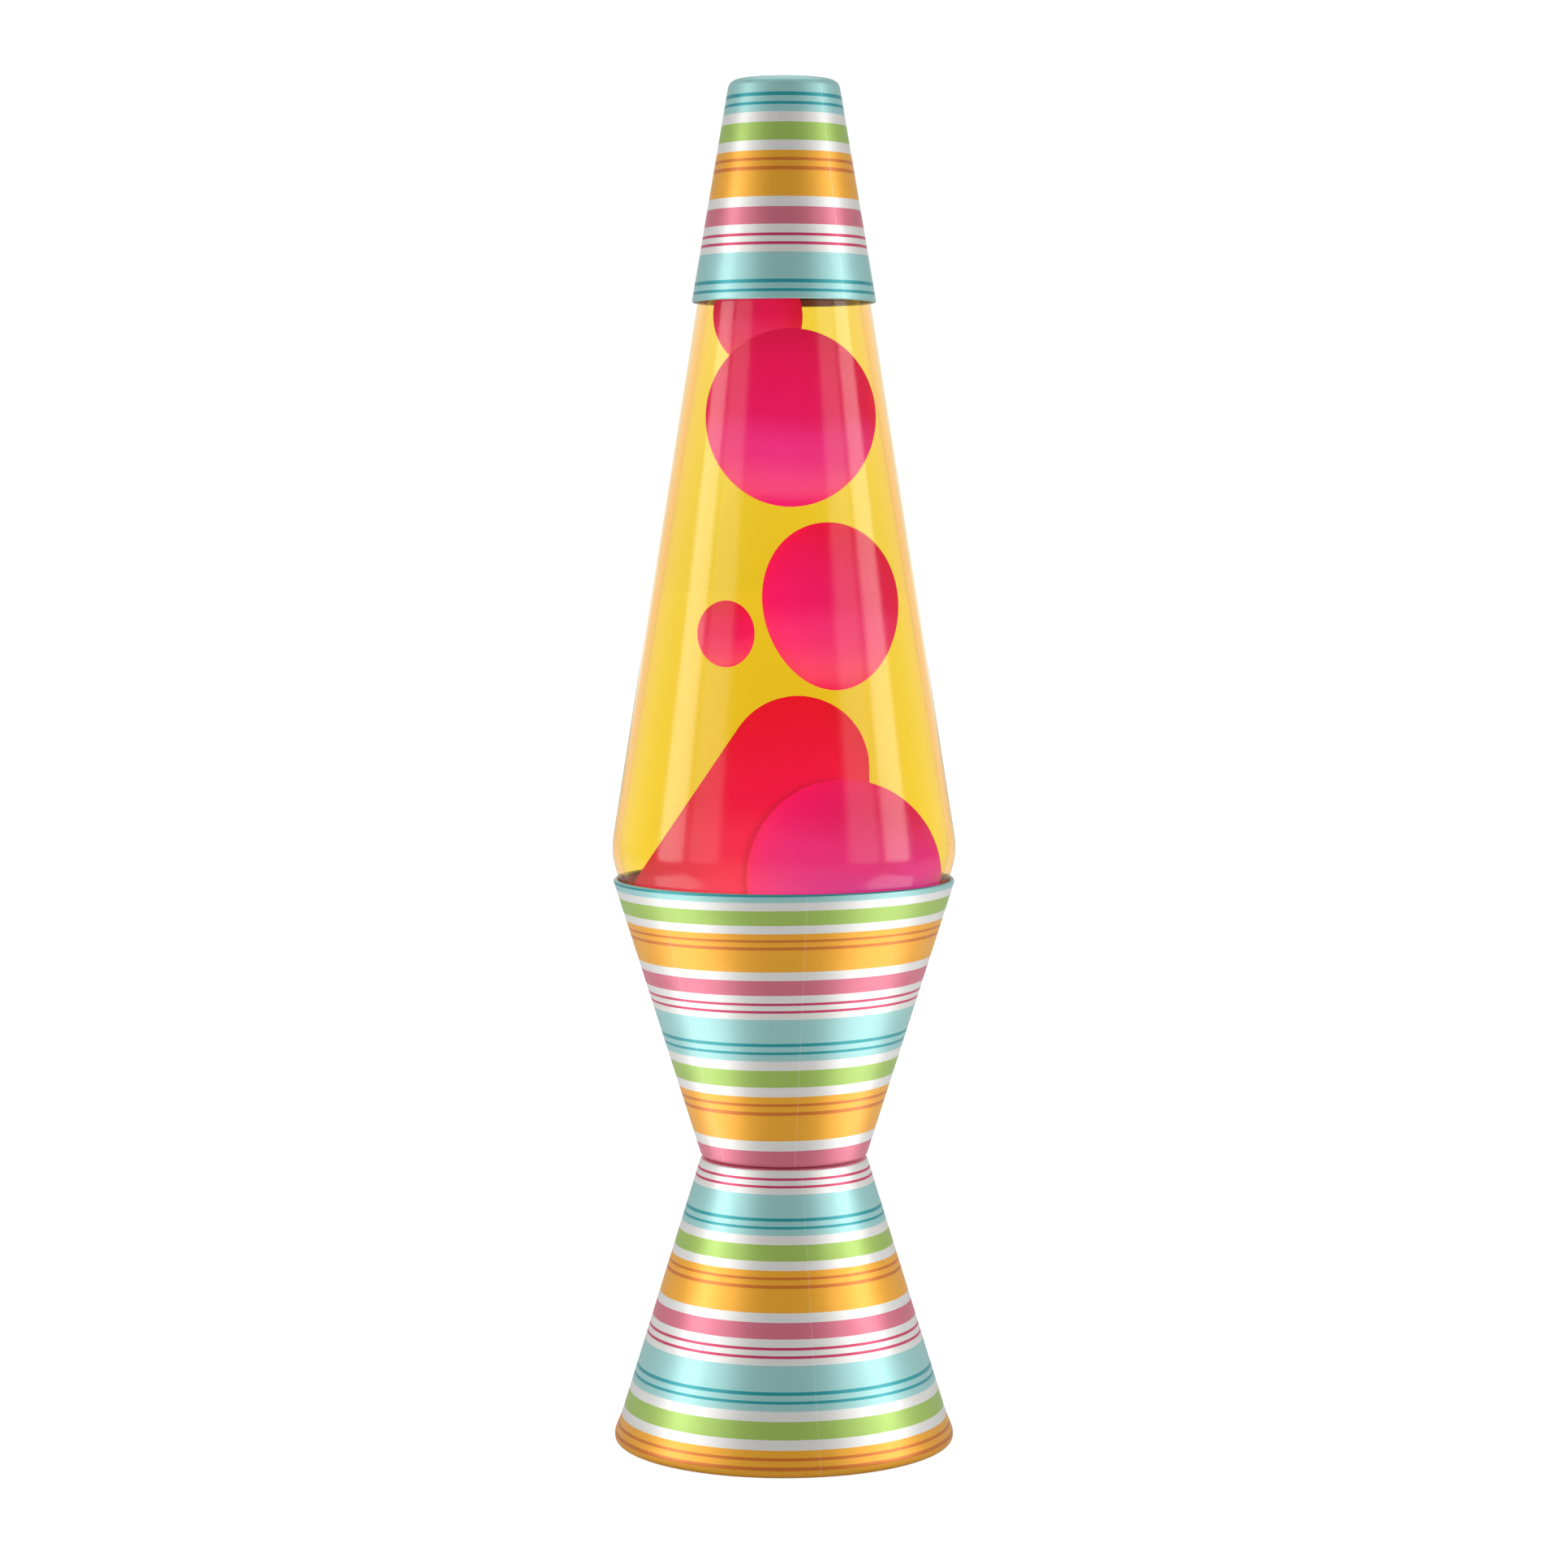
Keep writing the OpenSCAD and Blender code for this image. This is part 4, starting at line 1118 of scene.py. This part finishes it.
@dataclass
class WaxBodies:
    """The wax: the melted mass with its two hills, and four loose blobs."""

    levels: Levels
    voxel: float = 1.0

    def ball(self, name: str, size: Sequence[float]) -> Bench:
        """Adds a ball at the origin.

        Args:
            name: Its name.
            size: Half sizes along X, Y and Z, in millimetres.

        Returns:
            The bench, in object mode.
        """
        Bench.clear()
        bpy.ops.mesh.primitive_uv_sphere_add(segments=96, ring_count=48, radius=MM)
        piece = bpy.context.object
        piece.name = piece.data.name = name
        bpy.ops.object.mode_set(mode="EDIT")
        bpy.ops.transform.resize(value=tuple(size), center_override=(0, 0, 0))
        bpy.ops.object.mode_set(mode="OBJECT")
        return Bench(piece)

    def blob(self, which: str, size: Corner, at: Corner, turn: Corner, taper: float) -> None:
        """Makes a loose blob.

        Args:
            which: Which blob: large, top, middle or small.
            size: Half sizes in millimetres.
            at: Its middle.
            turn: Its turn in degrees.
            taper: How much wider its upper end is.
        """
        name = f"{which}_blob"
        bench = self.ball(name, size)
        if taper:
            bench.modify("SIMPLE_DEFORM", deform_method="TAPER", deform_axis="Z", factor=taper)
        bench.placed(at, turn).smooth(180)
        wax = Wax(f"{name}_wax", at[2] - size[2], at[2] + size[2])
        finish_piece(bench, wax.material(), name, "crimson_wax", f"wax_blob_{which}")

    def blobs(self) -> None:
        """Makes the four loose blobs."""
        rim = self.levels.rim
        shapes = {
            "large": ((22.7, 15.5, 23.8), (1.8, -5, 124), (0, 0, 0), 0.0),
            "top": ((12.9, 6, 13.8), (-7, 9.4, 151.6), (0, 0, 24), 0.0),
            "middle": ((18.2, 16.5, 22.7), (12.6, 0, 73.4), (0, -8, 0), 0.12),
            "small": ((7.7, 7.4, 9), (-15.6, 0, 66), (0, 0, 0), 0.0),
        }
        for which, (size, (x, y, rise), turn, taper) in shapes.items():
            self.blob(which, size, (x, y, rim + rise), turn, taper)

    def hill(self) -> Bench:
        """Makes the leaning hill: a round top on a widening flank."""
        radius, half_angle, lean = 19.5, math.radians(17.5), 16.5
        bench = self.ball("hill", (radius,) * 3).edit()
        cut = radius * math.sin(half_angle)
        bpy.ops.mesh.bisect(
            plane_co=(0, 0, cut * MM), plane_no=(0, 0, 1), clear_inner=True, clear_outer=False, use_fill=False
        )
        bpy.ops.object.mode_set(mode="OBJECT")
        bench.pick(lambda co: co.z < (cut + 0.01) * MM)
        bpy.ops.mesh.select_mode(type="EDGE")
        drop = 62.0
        for _ in range(2):
            bpy.ops.mesh.extrude_edges_move(TRANSFORM_OT_translate={"value": (0, 0, -drop / 2 * MM)})
        bpy.ops.mesh.edge_face_add()
        bench.closed_up()
        base_r = radius * math.cos(half_angle)
        for share in (0.5, 1.0):
            level = (cut - drop * share) * MM
            grow = 1 + drop * share * math.tan(half_angle) / base_r
            bench.pick(lambda co, level=level: abs(co.z - level) < 1e-5)
            bpy.ops.transform.resize(value=(grow, grow, 1), center_override=(0, 0, level))
            bpy.ops.object.mode_set(mode="OBJECT")
        bench.placed((0, 0, 0), (0, lean, 0))
        bench.edit()
        bpy.ops.transform.resize(value=(1, 0.62, 1), center_override=(0, 0, 0))
        bpy.ops.object.mode_set(mode="OBJECT")
        return bench.placed((3.8, 12, self.levels.rim + 29.2))

    def mass(self) -> None:
        """Makes the melted pool, its hill and its dome as one smooth piece."""
        rim = self.levels.rim
        globe = Globe(self.levels)
        pool = Bench.turned("pool", globe.inner_below(rim - 4.8, 0.6), 96)
        dome_at, dome_r = (16.2, -10.5, rim + 1.4), 26.0
        dome = self.ball("dome", (dome_r, 25, dome_r)).placed(dome_at)
        mass = pool.joined([self.hill(), dome])
        mass.piece.name = mass.piece.data.name = "wax_mass"
        mass.modify("REMESH", mode="VOXEL", voxel_size=self.voxel * MM)
        mass.modify("SMOOTH", factor=0.5, iterations=5)
        keep = Bench.turned("keep", globe.inner_below(rim + 60, 0.45), 128)
        mass.cut(keep, "INTERSECT").smooth(60)
        wax = Wax("wax_mass_wax", rim - 9, rim + 49, (*dome_at, dome_r))
        finish_piece(mass, wax.material(), "globe", "crimson_wax", "wax_pool")


@dataclass
class InnerWorks:
    """The pieces inside the base and under the cap."""

    def finishes(self) -> list[tuple[str, str, bpy.types.Material]]:
        """Lists each node with its body and its finish."""
        zinc = Metal("zinc_plate", (176, 178, 176), 0.34).material()
        brass = Metal("plated_brass", (206, 168, 92), 0.28).material()
        nickel = Metal("nickel_plate", (188, 186, 178), 0.24).material()
        steel = Metal("bracket_steel", (150, 152, 152), 0.4, worn=0.6).material()
        tungsten = Metal("tungsten_wire", (96, 92, 86), 0.45, worn=0.1).material()
        solder = Metal("solder_tip", (164, 166, 168), 0.38).material()
        gold = Metal("gold_crown", (214, 172, 84), 0.26).material()
        phenolic = Moulded("brown_phenolic", (58, 38, 30), 0.42, glaze=0.25).material()
        plastic = Moulded("black_plastic", (30, 30, 31), 0.5).material()
        rubber = Moulded("black_rubber", (24, 24, 24), 0.72, 1800.0, dusty=0.4).material()
        glass_black = Moulded("vitrite_glass", (22, 20, 26), 0.2, glaze=0.8).material()
        white = Moulded("white_liner", (226, 222, 212), 0.6).material()
        bulb = ClearBody("bulb_soda_glass", (1, 1, 1), 0.0, ior=1.45).material()
        fitted = {
            "base": {
                "base_plate": plastic,
                "feet": rubber,
                "cord_grommet": rubber,
                "lamp_pipe": brass,
                "pipe_nuts": zinc,
                "pipe_washer": zinc,
                "socket_bracket": steel,
                "waist_screws": zinc,
                "waist_nuts": zinc,
                "socket_body": phenolic,
                "socket_shell": brass,
                "socket_contact": brass,
                "contact_rivet": brass,
                "terminal_screws": brass,
            },
            "bulb": {
                "bulb_glass": bulb,
                "bulb_stem": bulb,
                "lead_wires": nickel,
                "bulb_filament": tungsten,
                "bulb_cap": nickel,
                "bulb_insulator": glass_black,
            },
            "bulb_foot": {"bulb_tip": solder},
            "globe": {"crown_cap": gold, "crown_liner": white, "heater_coil": nickel},
        }
        return [(node, body, made) for body, set_ in fitted.items() for node, made in set_.items()]

    def build(self) -> None:
        """Makes a smooth-shaded piece for each node inside."""
        slots = {part["node"]: part["material_slot"] for part in frame["record"]["subparts"]}
        for node, body, material in self.finishes():
            bench = smoothed_node(node)
            finish_piece(bench, material, body, slots[node], node)


# ---------------------------------------------------------------------------
# The studio
# ---------------------------------------------------------------------------


@dataclass
class Studio:
    """Pale floor, soft lights and camera."""

    camera_at: tuple[float, float, float] = (0.0, -1.051, 0.258)
    lens: float = 89.44
    tilt: float = 4.25
    strip_turn: float = 80.0
    strip_away: float = 1.1
    fill_turn: float = 54.0
    low_away: float = 0.24

    def floor(self) -> None:
        """Makes a wide round floor with a soft matt finish."""
        Bench.clear()
        bpy.ops.mesh.primitive_circle_add(vertices=96, radius=9, fill_type="NGON")
        floor = bpy.context.object
        floor.name = "studio_floor"
        made, graph, skin = shader("studio_floor")
        cloud = graph.add("TexNoise", Vector=graph.place(), Scale=1.3)
        tone = graph.mix(cloud.outputs[0], (0.56,) * 3, (0.60,) * 3)
        graph.feed(skin.inputs["Base Color"], tone)
        skin.inputs["Roughness"].default_value = 0.9
        skin.inputs["Specular IOR Level"].default_value = 0.0
        skin.inputs["Emission Color"].default_value = (1, 1, 1, 1)
        graph.feed(skin.inputs["Emission Strength"], graph.math("MULTIPLY", graph.seen(), 0.93))
        floor.data.materials.append(made)

    def light(self, name: str, at: Sequence[float], size: Point, power: float, aim: Sequence[float]) -> None:
        """Adds a rectangular softbox.

        Args:
            name: Its name.
            at: Its place in metres.
            size: Its width and height in metres.
            power: Its power in watts.
            aim: The point that it faces.
        """
        box = bpy.data.lights.new(name, "AREA")
        box.shape, box.size, box.size_y, box.energy = "RECTANGLE", size[0], size[1], power
        lamp = bpy.data.objects.new(name, box)
        lamp.location = at
        lamp.visible_camera = lamp.visible_transmission = False
        lamp.rotation_euler = (Vector(aim) - Vector(at)).to_track_quat("-Z", "Y").to_euler()
        bpy.context.scene.collection.objects.link(lamp)

    def lights(self) -> None:
        """Sets the upright strips and fills, the low and overhead boxes, and the room's light."""
        for side, name in ((-1, "left"), (1, "right")):

            def beside_lamp(turn: float, away: float, height: float) -> Corner:
                """Gives the place at an angle from the front on this side."""
                angle = math.radians(turn)
                return side * away * math.sin(angle), -away * math.cos(angle), height

            strip = beside_lamp(self.strip_turn, self.strip_away, 0.30)
            self.light(f"strip_{name}", strip, (0.40, 1.0), 5.4, (0, 0, 0.26))
            fill = beside_lamp(self.fill_turn, self.strip_away, 0.28)
            self.light(f"fill_{name}", fill, (0.42, 1.0), 2.2, (0, 0, 0.2))
            low = beside_lamp(self.strip_turn, self.low_away, 0.004)
            self.light(f"low_{name}", low, (0.26, 0.20), 0.36, (low[0], low[1], 1.0))
        self.light("overhead", (0, 0.3, 2.4), (2.4, 2.4), 18.0, (0, 0, 0))
        world = bpy.data.worlds.new("studio_room")
        bpy.context.scene.world = world
        world.use_nodes = True
        graph = Graph(world.node_tree)
        _, y, _ = graph.split(graph.add("TexCoord").outputs["Generated"])
        greys = ((0.0, 0.34), (0.45, 0.42), (0.95, 0.42), (0.99, 1.0))
        stops = [(at, (grey,) * 3) for at, grey in greys]
        room = graph.ramp(graph.range(y, -1.0, 1.0, smooth=False), stops)
        colour = graph.mix(graph.seen(), room, (1.12,) * 3)
        back = world.node_tree.nodes["Background"]
        graph.feed(back.inputs["Color"], colour)
        back.inputs["Strength"].default_value = 1.0

    def camera(self) -> None:
        """Sets the camera and the plain picture transform."""
        data = bpy.data.cameras.new("camera")
        data.lens, data.sensor_width = self.lens, 36.0
        eye = bpy.data.objects.new("camera", data)
        eye.location = self.camera_at
        eye.rotation_euler = (math.radians(90 - self.tilt), 0, 0)
        bpy.context.scene.collection.objects.link(eye)
        bpy.context.scene.camera = eye
        bpy.context.scene.view_settings.view_transform = "Standard"
        bpy.context.scene.view_settings.look = "None"


def main() -> None:
    """Builds the lamp and its studio in order."""
    logging.basicConfig(level=logging.INFO, format="%(name)s: %(message)s")
    levels = Levels()
    studio = Studio()
    studio.camera()
    studio.floor()
    studio.lights()
    shells = Shells(levels)
    shells.lower()
    shells.upper()
    shells.cap()
    globe = Globe(levels)
    globe.glass()
    globe.liquid()
    wax = WaxBodies(levels)
    wax.blobs()
    wax.mass()
    InnerWorks().build()
    Bench.clear()


if __name__ == "__main__":
    main()
